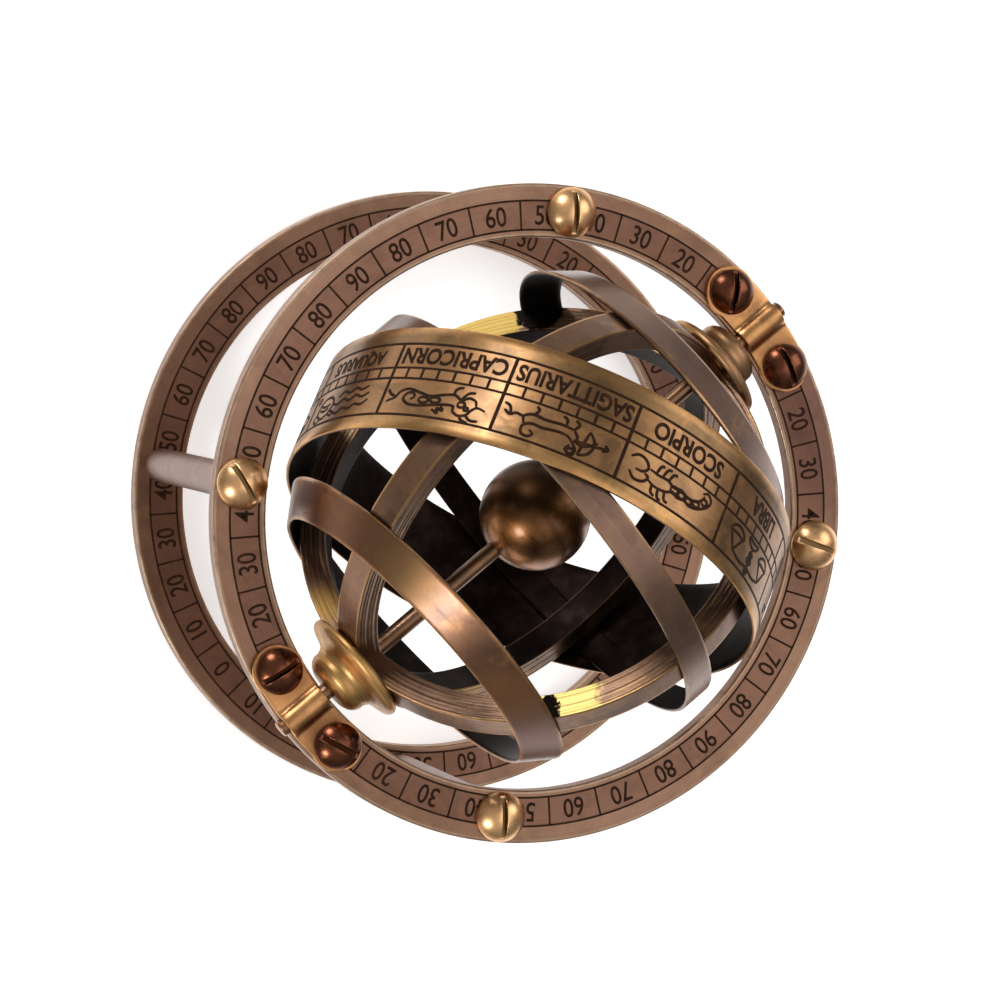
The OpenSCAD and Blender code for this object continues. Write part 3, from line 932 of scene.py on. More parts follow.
def saddle_strap():
    """A strap bent over the axle, seen along it as a line of (s, z) carried across its width.

    The line runs flat, round a fillet, over the arch and down again. At every
    point of it the strap is w(s) wide: straight in the middle and round at
    each end, where w is sqrt(e^2 - (s - m)^2). Outer and inner skins lie half
    the thickness to each side of the line, and the long edges are rounded.
    """
    half_t, reach, end_r, half_w = SADDLE_T / 2, MID_R * math.radians(SADDLE_TURN), 4.55, 4.15
    mid_r, fillet = 2.05, 1.7
    # centre of the fillet lies above the flat at z = half_t + fillet
    rise = half_t + fillet
    cx = math.sqrt((mid_r + fillet) ** 2 - rise ** 2)
    open_angle = math.atan2(rise, cx)
    arch = np.linspace(open_angle, math.pi / 2, 15)
    arc = np.column_stack([mid_r * np.cos(arch), mid_r * np.sin(arch)])
    fill = np.linspace(-math.pi / 2, open_angle - math.pi, 8)
    bend = np.column_stack([cx + fillet * np.cos(fill), rise + fillet * np.sin(fill)])
    u = np.sin(np.radians(np.linspace(0, 90, 15)))[::-1]
    straight = cx + 0.05 + (reach + end_r - 0.004 - cx - 0.05) * u
    flat = np.column_stack([straight, np.full(15, half_t)])
    side = np.vstack([flat, bend, arc[:-1]])
    line = np.vstack([side * [-1, 1], arc[-1:] * [0, 1], side[::-1]])
    d = np.gradient(line, axis=0)
    d /= np.linalg.norm(d, axis=1, keepdims=True)
    normal = np.column_stack([-d[:, 1], d[:, 0]])
    flat_part = np.abs(line[:, 0]) > cx
    normal[flat_part] = [0, 1]
    s = np.abs(line[:, 0])
    end = np.sqrt(np.maximum(end_r ** 2 - (s - reach) ** 2, 1e-5))
    w = np.where(s > reach, end, np.where(s > reach - end_r, np.maximum(half_w, end), half_w))
    across = np.array([-1, -0.985, -0.94, -0.7, -0.35, 0, 0.35, 0.7, 0.94, 0.985, 1.0])
    tuck = np.array([0.62, 0.88, 1, 1, 1, 1, 1, 1, 1, 0.88, 0.62])
    v_top, v_low = across, across[::-1]
    v = np.concatenate([v_top, v_low])
    side_sign = np.concatenate([tuck, -tuck[::-1]]) * half_t
    z_s = line[:, None, :] + normal[:, None, :] * side_sign[None, :, None]
    radial = MID_R + v[None, :] * w[:, None]
    angle = z_s[:, :, 0] / MID_R
    keep = np.clip((5.0 - np.abs(z_s[:, :, 0])) / 2.5, 0, 1)
    y = z_s[:, :, 0] * keep + radial * np.sin(angle) * (1 - keep)
    x = np.sqrt(np.maximum(radial ** 2 - y ** 2, 1))
    points = np.stack([x, y, z_s[:, :, 1]], axis=-1)
    rows, cols = len(line), len(v)
    faces = [grid(rows, cols, False, True)]
    caps = []
    for row, flip in ((0, False), (rows - 1, True)):
        a = row * cols + np.arange(cols // 2 - 1)
        b = row * cols + cols - 1 - np.arange(cols // 2 - 1)
        cap = np.stack([a, a + 1, b - 1, b], axis=-1)
        caps.append(cap[:, ::-1] if flip else cap)
    edge = np.concatenate([np.array([1, 0.8, 0.2, 0, 0, 0, 0, 0, 0.2, 0.8, 1.0])] * 2)
    return points.reshape(-1, 3), faces + caps, np.tile(edge, rows)


class ARMILLARY_OT_saddles(bpy.types.Operator):
    """The two straps that hold the axle down in its grooves"""
    bl_idname = "armillary.saddles"
    bl_label = "Saddles"

    def execute(self, context):
        # Dark patches at the strap ends are patina; the east one at (52.2, -7.8) is also a painted
        # dark reflection on the strap's lower flat.
        brown, ruddy = (0.17, 0.072, 0.032), (0.30, 0.13, 0.055)
        material = metal("saddle brass", (0.62, 0.30, 0.115), dark=0.30, light=1.35, size=150.0,
                         dark_amount=0.7, light_amount=0.5, rough=(0.28, 0.42), wear=0.6,
                         bump=0.12, tint=(1.0, 0.95, 0.8), coat=0.3,
                         spots=[(place + (TOP_FACE + 1,), radius, paint, 0.42, 0.12, 0.5)
                                for place, radius, paint in (((-52.4, -6.2), 4.6, brown),
                                                             ((-51.2, 7.6), 5.0, ruddy),
                                                             ((52.2, -7.8), 5.2, ruddy))])
        points, faces, edge = saddle_strap()
        for name, node, turn in (("saddle_strap_east", "saddle_east", 0.0),
                                 ("saddle_strap_west", "saddle_west", math.pi)):
            p = points @ turned("Z", turn).T + CENTRE
            make_piece(name, p, faces, "stand", "saddle_brass", material, [node], 40, edge=edge)
        return {"FINISHED"}


# ------------------------------------------------------------ axle and ball

class ARMILLARY_OT_axle(bpy.types.Operator):
    """The polar axle and the ball at the middle"""
    bl_idname = "armillary.axle"
    bl_label = "Axle and ball"

    def execute(self, context):
        end, r, rows, steps = AXLE_END, AXLE_R, 120, 48
        side = np.linspace(-end + 0.3, end - 0.3, rows)
        profile = np.vstack([[0, -end], [r - 0.3, -end], [r - 0.08, -end + 0.12],
                             np.column_stack([np.full(rows, r), side]),
                             [r - 0.08, end - 0.12], [r - 0.3, end], [0, end]])
        points, faces = revolve_solid(profile, steps)
        edge = np.zeros(len(profile) - 2)
        edge[[0, 1, -2, -1]] = 0.9
        material = metal("axle brass", (0.27, 0.135, 0.065), dark=0.4, size=140.0, dark_amount=0.6,
                         light_amount=0.5, rough=(0.25, 0.40), lines=4.0, wear=0.8, bump=0.2)
        make_piece("axle_rod", in_sphere(points @ ALONG_X.T, 0), faces, "sphere", "axle_brass",
                   material, ["polar_axle"], 40,
                   edge=np.concatenate([np.tile(edge, steps), [0.3, 0.3]]),
                   across=np.concatenate([np.tile(profile[1:-1, 1], steps), [0, 0]]))
        stop = math.asin((AXLE_R + BORE_PLAY) / BALL_R)
        rows, steps = 73, 128
        a = np.linspace(-math.pi / 2 + stop, math.pi / 2 - stop, rows)
        skin = BALL_R * np.column_stack([np.cos(a), np.sin(a)])
        points, faces = revolve(skin, steps)
        edge = np.zeros(rows)
        edge[[0, -1]] = 1
        # The ball's spot is painted shade: a dark patch over its upper side, where the zodiac band
        # blocks the light.
        material = metal("ball bronze", (0.30, 0.118, 0.030), dark=0.16, light=1.8, size=60.0,
                         dark_amount=0.95, light_amount=0.5, rough=(0.33, 0.46), wear=0.5,
                         bump=0.35, coat=0.6,
                         spots=(((2.5, 7.2, TOP_FACE + 6.4), 7.6, (0.05, 0.022, 0.009), 0.4,
                                 0.12, 0.45),))
        make_piece("centre_ball", in_sphere(points @ ALONG_X.T, 0), faces, "sphere", "ball_bronze",
                   material, ["ball"], 60, edge=np.tile(edge, steps))
        return {"FINISHED"}


# ----------------------------------------------------------------- collars

class ARMILLARY_OT_collars(bpy.types.Operator):
    """The spun bells over the crossings of the colures"""
    bl_idname = "armillary.collars"
    bl_label = "Bell collars"

    def execute(self, context):
        end, rim_r = cad("bell_collar_east")[1][:2]
        bore, boss, face, wall = AXLE_R + BORE_PLAY, 5.6, COLLAR_FACE, 1.3
        rim = math.sqrt(face ** 2 - (10.3 - wall) ** 2) + 0.15
        corners = np.array([
            [bore, face], [3.0, face], [3.3, face + 1.5], [boss - 0.6, face + 1.4],
            [rim_r - 1.7, rim + 0.9], [rim_r - 1.3, rim], [rim_r - 0.6, rim - 0.1],
            [rim_r - 0.1, rim + 0.3],
            [rim_r, rim + 0.9], [rim_r - 0.3, rim + 1.5], [rim_r - 1.1, rim + 1.9],
            [rim_r - 2.6, rim + 2.3], [rim_r - 3.8, rim + 2.9], [boss + 0.5, rim + 3.5],
            [boss + 0.3, rim + 4.1], [boss + 0.3, rim + 4.9], [boss, rim + 5.6],
            [boss - 0.7, rim + 6.3], [boss - 1.8, end], [bore, end]])
        profile, edge = rounded(corners, 0.5, 5)
        edge *= 0.25
        steps = 160
        points, faces = revolve(profile, steps)
        inner = (profile[:, 0] > 1.6) & (profile[:, 1] < rim + 1.0) & (profile[:, 0] < rim_r - 1.2)
        step = np.linalg.norm(np.diff(profile, axis=0, prepend=profile[-1:]), axis=1)
        across = np.cumsum(step)
        # The inside of the bell is painted dark: partly oxide and partly painted shade under the
        # bell.
        material = metal("collar brass", (0.58, 0.325, 0.115), dark=0.34, light=1.4, size=130.0,
                         dark_amount=0.6, light_amount=0.5, rough=(0.33, 0.46), lines=3.0,
                         wear=0.7, bump=0.2, inner=(0.03, 0.018, 0.010), coat=0.3,
                         spots=(((45.0, -1.0, TOP_FACE + 7.0), 11.5, (0.30, 0.165, 0.095), 0.42,
                                 0.12, 0.6),))
        for name, node, turn in (("collar_bell_east", "bell_collar_east", 0.0),
                                 ("collar_bell_west", "bell_collar_west", math.pi)):
            p = points @ ALONG_X.T @ turned("Z", turn).T + CENTRE
            make_piece(name, p, faces, "sphere", "collar_brass", material, [node], 50,
                       **all_round(steps, edge, inner.astype(float), across))
        return {"FINISHED"}


# ----------------------------------------------------------------- colures

def colure_profile(radius, depth):
    """A turned ring's section: radial faces with grooves of cosine form, and rounded corners.

    At radius r a face stands at half the thickness less depth times the sum of
    (1 + cos) / 2 hollows about the groove radii.
    """
    width, half = 4.6, 2.65
    inner = radius - width
    r = np.linspace(inner + 0.18, radius - 0.18, 60)
    face = np.full(60, half)
    for middle, span, share in ((0.75, 0.50, 1.0), (1.65, 0.40, 0.7), (2.35, 0.62, 1.2),
                                (3.20, 0.36, 0.6), (3.85, 0.44, 0.9)):
        d = (r - inner - middle) / span
        face -= depth * share * np.where(np.abs(d) < 1, (1 + np.cos(np.pi * d)) / 2, 0)
    up = np.column_stack([r, face])
    outer_wall = np.array([[radius - 0.05, -half + 0.05], [radius, -half + 0.2],
                           [radius, -half + 0.5], [radius, 0], [radius, half - 0.5],
                           [radius, half - 0.2], [radius - 0.05, half - 0.05]])
    inner_wall = np.array([[inner + 0.05, half - 0.05], [inner, half - 0.2], [inner, half - 0.5],
                           [inner, 0], [inner, -half + 0.5], [inner, -half + 0.2],
                           [inner + 0.05, -half + 0.05]])
    profile = np.vstack([up * [1, -1], outer_wall, up[::-1], inner_wall])
    n = len(up)
    edge = np.zeros(len(profile))
    edge[[n - 2, n - 1, n, n + 1, n + 5, n + 6, n + 7, n + 8]] = 1
    edge[[0, -1, 2 * n + 6, 2 * n + 7]] = 0.25
    inside = np.zeros(len(profile))
    inside[2 * n + 8:2 * n + 13] = 1
    across = np.concatenate([r, radius + np.linspace(0, 5, 7), r[::-1],
                             inner - np.linspace(0, 5, 7)])
    return profile, edge, inside, across


class ARMILLARY_OT_colures(bpy.types.Operator):
    """The two turned rings that cross at the poles"""
    bl_idname = "armillary.colures"
    bl_label = "Colures"

    def execute(self, context):
        props, finish = context.scene.armillary_sphere, context.scene.armillary_finish
        profile, edge, inside, across = colure_profile(props.colure_radius / MM,
                                                       props.groove_depth / MM)
        steps = props.steps
        points, faces = revolve(profile, steps)
        marks = all_round(steps, edge, inside, across)
        yellow, solder, golden = (0.78, 0.56, 0.19), (0.010, 0.007, 0.005), (0.40, 0.24, 0.065)
        spots = {
            "solstitial_ring": [((-20.0, -21.2, 92.5), 5.6, yellow, 0.42, 0.38, 0.2),
                                ((18.8, 27.8, 44.0), 7.6, (0.66, 0.46, 0.14), 0.55, 0.2, 0.1),
                                ((-38.0, 10.0, 61.0), 3.4, golden, 0.45, 0.3, 0.6),
                                ((-24.2, -20.4, 92.2), 2.6, solder, 0.6, 0.5, 0.1),
                                ((27.8, 23.4, 48.4), 4.4, solder, 0.5, 0.3, 0.1)],
            "equinoctial_ring": [((-27.0, -21.6, 49.6), 4.4, golden, 0.45, 0.3, 0.7)],
        }
        for name, node, extra in (("equinoctial_ring", "equinoctial_colure", 0.0),
                                  ("solstitial_ring", "solstitial_colure", math.pi / 2)):
            material = metal(name.replace("_", " "), (0.285, 0.158, 0.096), dark=0.35, light=1.6,
                             size=95.0, dark_amount=0.8, light_amount=0.5, rough=(0.28, 0.44),
                             lines=5.0, wear=0.75, bump=0.3, inner=tuple(finish.oxide),
                             tint=(1.0, 0.98, 0.60), coat=0.3, spots=spots[name], reach=41.36)
            make_piece(name, in_sphere(points, props.turn + extra), faces, "sphere",
                       "colure_brass", material, [node], 40, **marks)
        return {"FINISHED"}


# ------------------------------------------------------------------- bands

EQUATOR_IN, EQUATOR_OUT, EQUATOR_HALF = 41.535, 42.235, 2.8
# A tropic's inner skin crosses the sphere of radius TROPIC_IN at TROPIC_TURN from the equator
TROPIC_IN, TROPIC_T, TROPIC_HALF = 41.935, 0.7, 3.7
TROPIC_TURN, TROPIC_SLOPE = math.radians(43.9), math.radians(38.0)


def band_section(inner, outer, high):
    """A flat strip's section with rounded edges, from -high to high.

    With its points come the edge mask, the inner skin's mask and the place across.
    """
    n, low = 14, -high
    lip = 0.22
    side = np.linspace(low + lip, high - lip, n)
    bulge = np.array([[inner + 0.10, low + 0.04], [(inner + outer) / 2, low],
                      [outer - 0.10, low + 0.04]])
    top_bulge = bulge[::-1] * [1, -1] + [0, low + high]
    profile = np.vstack([bulge, np.column_stack([np.full(n, outer), side]), top_bulge,
                         np.column_stack([np.full(n, inner), side[::-1]])])
    edge = np.concatenate([[0, 0.5, 1], [0.8], np.zeros(n - 2), [0.8], [1, 0.5, 0], np.zeros(n)])
    inside = np.concatenate([[1, 0.3], np.zeros(n + 2), [0.3], np.ones(n + 1)])
    across = np.concatenate([[low - 0.4, low - 0.2, low - 0.1], side,
                             [high + 0.1, high + 0.2, high + 0.4], side[::-1] + 40])
    return profile, edge, inside, across


class ARMILLARY_OT_bands(bpy.types.Operator):
    """The equator band and the two sloping tropic bands"""
    bl_idname = "armillary.bands"
    bl_label = "Equator and tropics"

    def execute(self, context):
        props, finish = context.scene.armillary_sphere, context.scene.armillary_finish
        steps, base = props.steps, tuple(finish.strip)
        profile, edge, inside, across = band_section(EQUATOR_IN, EQUATOR_OUT, EQUATOR_HALF)
        points, faces = revolve(profile, steps)
        marks = all_round(steps, edge, inside, across)
        paint = metal("equator bronze", base, dark=0.45, light=1.4, size=85.0, dark_amount=0.6,
                      light_amount=0.4, rough=(0.28, 0.42), lines=4.0, wear=0.8, bump=0.25,
                      inner=tuple(finish.oxide), tint=(1.0, 1.0, 0.62), coat=0.4)
        make_piece("equator_hoop", in_sphere(points @ ALONG_X.T, props.turn), faces, "sphere",
                   "band_bronze", paint, ["equator_band"], 40, **marks)
        profile, edge, inside, across = band_section(0.0, TROPIC_T, TROPIC_HALF)
        middle = TROPIC_IN * np.array([math.cos(TROPIC_TURN), math.sin(TROPIC_TURN)])
        out = np.array([math.cos(TROPIC_SLOPE), math.sin(TROPIC_SLOPE)])
        along = np.array([-out[1], out[0]])
        cone = middle + profile[:, :1] * out + profile[:, 1:] * along
        points, faces = revolve(cone, steps)
        marks = all_round(steps, edge, inside, across)
        # Patches on the west tropic: darker ones at its top and far end, a golden-brown one, and a
        # lighter, redder one lower down; the east tropic has one dull patch.
        tone_patches = (((-31.0, 23.8, 85.3), 9.5, (0.15, 0.068, 0.036), 0.40, 0.12, 0.6),
                  ((-29.2, 14.5, 95.4), 6.0, (0.32, 0.178, 0.078), 0.34, 0.25, 0.7),
                  ((-28.7, -13.8, 96.5), 6.5, (0.36, 0.175, 0.080), 0.42, 0.15, 0.6),
                  ((-28.0, -25.5, 88.5), 8.5, (0.19, 0.108, 0.092), 0.40, 0.12, 0.6))
        dull = (((29.4, 23.1, 88.3), 9.0, (0.18, 0.105, 0.070), 0.40, 0.12, 0.6),)
        for name, node, side, skew, tone, spots in (
                ("tropic_hoop_west", "tropic_band_west", -1, (2.0, 3.0), (1.05, 0.90, 0.72),
                 tone_patches),
                ("tropic_hoop_east", "tropic_band_east", 1, (2.0, 0.0), (1.0, 0.95, 0.95), dull)):
            tip = (turned("Z", math.radians(skew[1])) @ turned("Y", math.radians(skew[0]))
                   @ turned("Y", side * math.pi / 2))
            paint = metal(name.replace("_", " "), tuple(b * t for b, t in zip(base, tone)),
                          dark=0.42, light=1.8, size=60.0, dark_amount=0.7, light_amount=0.8,
                          rough=(0.26, 0.40), lines=4.0, wear=0.85, bump=0.25,
                          inner=tuple(finish.oxide), tint=(1.0, 1.0, 0.62), coat=0.5, spots=spots)
            make_piece(name, points @ tip.T + CENTRE, faces, "sphere", "band_bronze", paint,
                       [node], 40, **marks)
        return {"FINISHED"}


# ------------------------------------------------------------- zodiac band

ZODIAC_IN, ZODIAC_OUT, ZODIAC_HALF = 42.378, 43.078, 9.8
ZODIAC_NODE = math.radians(-40)
ZODIAC_SHIFT = 1.0
PANEL = math.radians(29.1)
ROOM = PANEL * ZODIAC_OUT
FIRST = math.radians(-7.9)
TICKS_IN_SIGN = 7
SIGNS = ("ARIES", "TAURUS", "GEMINI", "CANCER", "LEO", "VIRGO", "LIBRA", "SCORPIO",
         "SAGITTARIUS", "CAPRICORN", "AQUARIUS", "PISCES")


def zodiac_place(points, tilt):
    """Puts points about the band's own axis, which lies on X, in the sphere."""
    tip = turned("X", ZODIAC_NODE) @ turned("Z", tilt)
    return (points + [ZODIAC_SHIFT, 0, 0]) @ tip.T + CENTRE


def wrap(points, start):
    """Bends a plate of (u, v, h) round the zodiac band.

    The angle is start - u / R, the place along the axis is -v and the radius is
    R + h, so letters read along the signs with their feet towards the east pole.
    """
    a = start - points[:, 0] / ZODIAC_OUT
    r = ZODIAC_OUT + points[:, 2]
    return np.column_stack([-points[:, 1], r * np.cos(a), r * np.sin(a)])


def ellipse(u, v, a, b, turn=0.0, n=14):
    """Points of an ellipse as a closed line, with half axes a and b."""
    t = np.linspace(0, 2 * np.pi, n, endpoint=False)
    c, s = math.cos(turn), math.sin(turn)
    x, y = a * np.cos(t), b * np.sin(t)
    return [(u + c * p - s * q, v + s * p + c * q) for p, q in zip(x, y)]


# Open and closed lines of each sign's emblem, about the middle of its panel, in millimetres
EMBLEMS = {
    "SCORPIO": (
        [[(8.3, -1.4), (7.2, -2.2), (5.9, -1.9), (5.2, -0.8), (5.9, 0.1), (7.1, 0.2)],
         [(7.9, 0.9), (6.9, 1.9), (5.5, 1.7), (4.8, 0.7), (5.5, 0.2)],
         [(4.8, 0.9), (3.4, 1.4), (1.6, 1.2), (0.4, 0.5), (-0.5, 0.9), (-1.9, 0.6), (-2.9, 0.9),
          (-4.4, 0.5), (-5.9, -0.7), (-6.5, -2.0), (-5.6, -2.9), (-4.6, -2.4)],
         [(4.9, -0.9), (3.4, -0.7), (1.7, -0.8), (0.5, -0.3), (-0.9, -0.6), (-2.3, -0.2),
          (-3.9, -0.5), (-4.8, -1.4), (-5.1, -2.2)],
         [(3.9, 1.2), (3.7, 2.5), (3.0, 2.9)], [(2.8, 1.3), (2.5, 2.7), (1.8, 3.0)],
         [(1.7, 1.1), (1.3, 2.5), (0.6, 2.7)], [(3.8, -0.8), (3.4, -2.2), (2.8, -2.5)],
         [(2.7, -0.8), (2.2, -2.3), (1.5, -2.6)], [(1.6, -0.7), (1.1, -2.1), (0.4, -2.3)]],
        [ellipse(0.2, 0.1, 0.65, 0.6), ellipse(-1.2, 0.15, 0.6, 0.55), ellipse(-2.6, 0.3, 0.6, 0.5),
         ellipse(-4.0, -0.1, 0.6, 0.5), ellipse(-5.3, -1.2, 0.55, 0.5)]),
    "SAGITTARIUS": (
        [[(-2.2, 1.0), (-1.2, 0.2), (0.4, 0.1), (2.4, 0.4), (4.2, 0.3), (5.3, 1.0), (5.2, 2.3),
          (4.2, 2.6), (3.6, 2.0), (4.2, 1.4)],
         [(-1.8, -1.2), (0.2, -1.3), (2.4, -1.1), (4.4, -1.3), (5.6, -0.6), (5.3, 0.6)],
         [(5.4, -0.4), (6.8, -0.7), (7.6, -0.2), (8.6, -0.8)],
         [(7.5, -0.4), (8.0, -1.6), (8.9, -2.0)],
         [(-1.8, -1.2), (-2.3, -2.3), (-1.6, -2.9)], [(-0.6, -1.3), (-0.4, -2.4), (0.3, -2.8)],
         [(4.2, -1.3), (3.8, -2.3), (4.3, -2.9)],
         [(-2.2, 1.0), (-2.9, 2.0), (-2.3, 2.9), (-1.5, 2.4), (-1.9, 1.5)],
         [(-1.9, -1.1), (-2.6, -0.2), (-2.5, 0.9)],
         [(-2.3, 0.6), (-3.6, 0.9), (-4.8, 0.2), (-5.6, -0.6)],
         [(-3.4, 2.6), (-4.6, 1.9), (-5.2, 0.6), (-5.0, -0.8), (-4.1, -1.9)],
         [(-3.4, 2.6), (-3.6, 0.9), (-4.1, -1.9)], [(-2.2, 0.5), (-4.9, 0.2), (-7.2, -0.3)],
         [(-6.5, 0.3), (-7.3, -0.3), (-6.7, -0.9)]],
        [ellipse(-2.3, 2.5, 0.55, 0.55)]),
    "CAPRICORN": (
        [[(-7.9, 0.6), (-6.6, 0.3), (-5.9, 0.9), (-5.3, 1.9), (-4.2, 2.3), (-3.2, 1.7),
          (-2.9, 0.8), (-1.4, 0.8), (0.6, 1.2), (2.6, 1.5), (4.4, 1.4), (5.6, 0.5), (5.2, -0.6),
          (4.2, -0.7), (3.8, 0.0), (4.4, 0.5)],
         [(-6.4, 0.2), (-6.0, -0.8), (-4.9, -1.1), (-3.9, -0.5), (-2.6, -1.2), (-0.8, -0.9),
          (1.2, -0.4), (3.2, -0.9), (5.2, -1.4), (6.6, -0.8), (7.2, 0.3), (8.6, 1.0)],
         [(7.0, 0.2), (8.2, -0.4), (8.9, -1.2)],
         [(-5.2, 1.9), (-6.2, 2.7), (-7.4, 2.6)], [(-4.4, 2.3), (-5.0, 3.0), (-6.0, 3.2)],
         [(-3.8, -0.6), (-4.6, -1.9), (-5.6, -2.2)], [(-2.4, -1.2), (-2.6, -2.3), (-3.6, -2.8)],
         [(-1.0, 1.0), (-1.6, 1.9), (-0.6, 1.6), (-0.9, 2.5), (0.2, 1.9)]],
        [ellipse(-5.0, 0.9, 0.3, 0.3), ellipse(-4.1, 0.3, 0.55, 0.5), ellipse(0.2, 0.2, 0.8, 0.5),
         ellipse(2.1, 0.4, 0.8, 0.55)]),
    "AQUARIUS": (
        [[(-6.4, 0.4), (-5.2, 1.3), (-3.6, 1.1), (-2.4, 1.8), (-0.9, 1.4), (0.4, 2.2), (1.8, 1.6)],
         [(-6.2, -0.9), (-4.8, -0.2), (-3.3, -0.7), (-1.9, 0.1), (-0.4, -0.4), (1.0, 0.4),
          (2.3, 0.0)],
         [(-5.6, -2.2), (-4.2, -1.6), (-2.8, -2.1), (-1.4, -1.4), (0.0, -1.9), (1.3, -1.1)],
         [(2.0, 2.4), (3.2, 1.8), (4.6, 2.4), (6.2, 1.6), (6.8, 0.2), (6.0, -1.2), (4.4, -1.7),
          (3.0, -1.2), (2.4, 0.0), (2.9, 1.2), (3.2, 1.8)],
         [(2.0, 2.4), (1.7, 1.7), (2.6, 1.3)], [(5.0, 2.2), (6.2, 2.9), (7.3, 2.0), (6.7, 0.9)],
         [(3.4, 0.6), (4.8, 0.9), (6.2, 0.4)], [(3.3, -0.2), (4.6, 0.1), (6.2, -0.4)]],
        [ellipse(7.9, -1.9, 0.5, 0.45)]),
    "LIBRA": (
        [[(0.0, 2.8), (0.0, -1.6)], [(-5.0, 1.6), (-2.6, 2.2), (0.0, 1.9), (2.6, 2.2), (5.0, 1.6)],
         [(-5.0, 1.6), (-6.7, -1.2)], [(-5.0, 1.6), (-3.3, -1.2)],
         [(5.0, 1.6), (3.3, -1.2)], [(5.0, 1.6), (6.7, -1.2)],
         [(-7.0, -1.2), (-6.3, -2.2), (-5.0, -2.6), (-3.7, -2.2), (-3.0, -1.2), (-5.0, -1.3),
          (-7.0, -1.2)],
         [(7.0, -1.2), (6.3, -2.2), (5.0, -2.6), (3.7, -2.2), (3.0, -1.2), (5.0, -1.3),
          (7.0, -1.2)],
         [(-1.8, -2.8), (-1.0, -1.9), (0.0, -1.6), (1.0, -1.9), (1.8, -2.8), (0.0, -2.6),
          (-1.8, -2.8)]],
        [ellipse(0, 2.4, 0.5, 0.5), ellipse(0, 0.6, 0.7, 0.5), ellipse(0, -0.5, 0.55, 0.4)]),
    "PISCES": (
        [[(-6.9, 1.5), (-5.2, 2.5), (-3.0, 2.4), (-1.2, 1.4), (0.0, 0.7)],
         [(-6.9, 1.5), (-5.4, 0.7), (-3.2, 0.6), (-1.4, 1.2), (-0.2, 2.2)],
         [(6.9, -1.5), (5.2, -2.5), (3.0, -2.4), (1.2, -1.4), (0.0, -0.7)],
         [(6.9, -1.5), (5.4, -0.7), (3.2, -0.6), (1.4, -1.2), (0.2, -2.2)],
         [(-6.7, 1.4), (-7.6, 0.0), (-4.6, -1.3), (-0.6, -0.4), (3.0, 1.0), (7.0, 0.9),
          (6.8, -1.4)],
         [(-4.6, 2.4), (-4.0, 3.1), (-3.0, 2.5)], [(4.6, -2.4), (4.0, -3.1), (3.0, -2.5)],
         [(-5.2, 2.3), (-4.7, 1.5), (-5.1, 0.8)], [(5.2, -2.3), (4.7, -1.5), (5.1, -0.8)]],
        [ellipse(-6.0, 1.7, 0.25, 0.25), ellipse(6.0, -1.7, 0.25, 0.25)]),
    "ARIES": (
        [[(-3.0, 0.6), (-1.4, 1.5), (1.2, 1.2), (3.6, 1.5), (5.4, 0.6), (5.5, -0.6), (4.2, -1.0),
          (1.4, -0.8), (-1.4, -1.0), (-3.2, -0.5)],
         [(-3.0, 0.9), (-3.8, 2.1), (-5.4, 2.4), (-6.4, 1.4), (-6.0, 0.4), (-5.0, 0.4), (-4.8, 1.2),
          (-5.4, 1.5)],
         [(-3.2, -0.5), (-4.4, -0.9), (-5.8, -0.7), (-6.5, 0.1), (-6.3, 1.0)],
         [(-2.6, -0.8), (-2.9, -2.0), (-3.4, -2.9)], [(-1.4, -0.9), (-1.2, -2.1), (-1.6, -2.9)],
         [(3.6, -0.9), (3.2, -2.0), (3.6, -2.9)], [(4.8, -0.9), (5.2, -2.0), (4.8, -2.9)],
         [(5.4, 0.5), (6.4, 0.2), (6.8, -0.8)],
         [(-1.2, 0.6), (-0.4, 0.1), (0.4, 0.7), (1.2, 0.1), (2.0, 0.7), (2.8, 0.1), (3.6, 0.6)]],
        [ellipse(-5.4, -0.1, 0.2, 0.2)]),
    "TAURUS": (
        [[(-3.6, 1.5), (-2.0, 1.9), (0.4, 1.4), (3.0, 1.7), (5.2, 1.2), (5.8, 0.0), (5.2, -0.9),
          (3.4, -1.0), (1.0, -1.2), (-1.6, -1.1), (-3.4, -0.9)],
         [(-3.6, 1.5), (-4.8, 1.7), (-5.8, 1.0), (-6.6, -0.1), (-6.0, -0.8), (-4.8, -0.5),
          (-3.4, -0.9)],
         [(-5.2, 1.6), (-6.4, 2.4), (-6.3, 3.2)], [(-4.6, 1.7), (-4.3, 2.7), (-4.9, 3.3)],
         [(-2.8, -1.0), (-3.4, -2.1), (-2.8, -3.0)], [(-1.4, -1.1), (-1.0, -2.1), (-1.6, -3.0)],
         [(3.6, -1.0), (3.2, -2.1), (3.8, -3.0)], [(4.9, -0.9), (5.3, -2.0), (5.0, -3.0)],
         [(5.7, 0.6), (6.9, 1.2), (7.2, -0.4), (7.8, -1.2)],
         [(-2.4, 1.7), (-2.0, 0.4), (-2.6, -0.9)]],
        [ellipse(-5.4, 0.6, 0.22, 0.22), ellipse(1.0, 0.2, 1.1, 0.6)]),
    "GEMINI": (
        [[(-3.6, 1.4), (-4.4, 0.2), (-4.0, -1.0), (-4.5, -2.9)],
         [(-2.6, 1.4), (-1.9, 0.2), (-2.2, -1.0), (-1.8, -2.9)],
         [(3.6, 1.4), (4.4, 0.2), (4.0, -1.0), (4.5, -2.9)],
         [(2.6, 1.4), (1.9, 0.2), (2.2, -1.0), (1.8, -2.9)],
         [(-2.4, 1.1), (-0.8, 0.4), (0.8, 0.4), (2.4, 1.1)],
         [(-3.8, 1.0), (-5.4, 0.6), (-6.4, 1.4)],
         [(3.8, 1.0), (5.4, 0.6), (6.4, 1.4)], [(-4.2, -0.9), (-3.1, -1.2), (-2.2, -0.9)],
         [(4.2, -0.9), (3.1, -1.2), (2.2, -0.9)], [(-3.1, -1.2), (-3.1, -2.9)],
         [(3.1, -1.2), (3.1, -2.9)]],
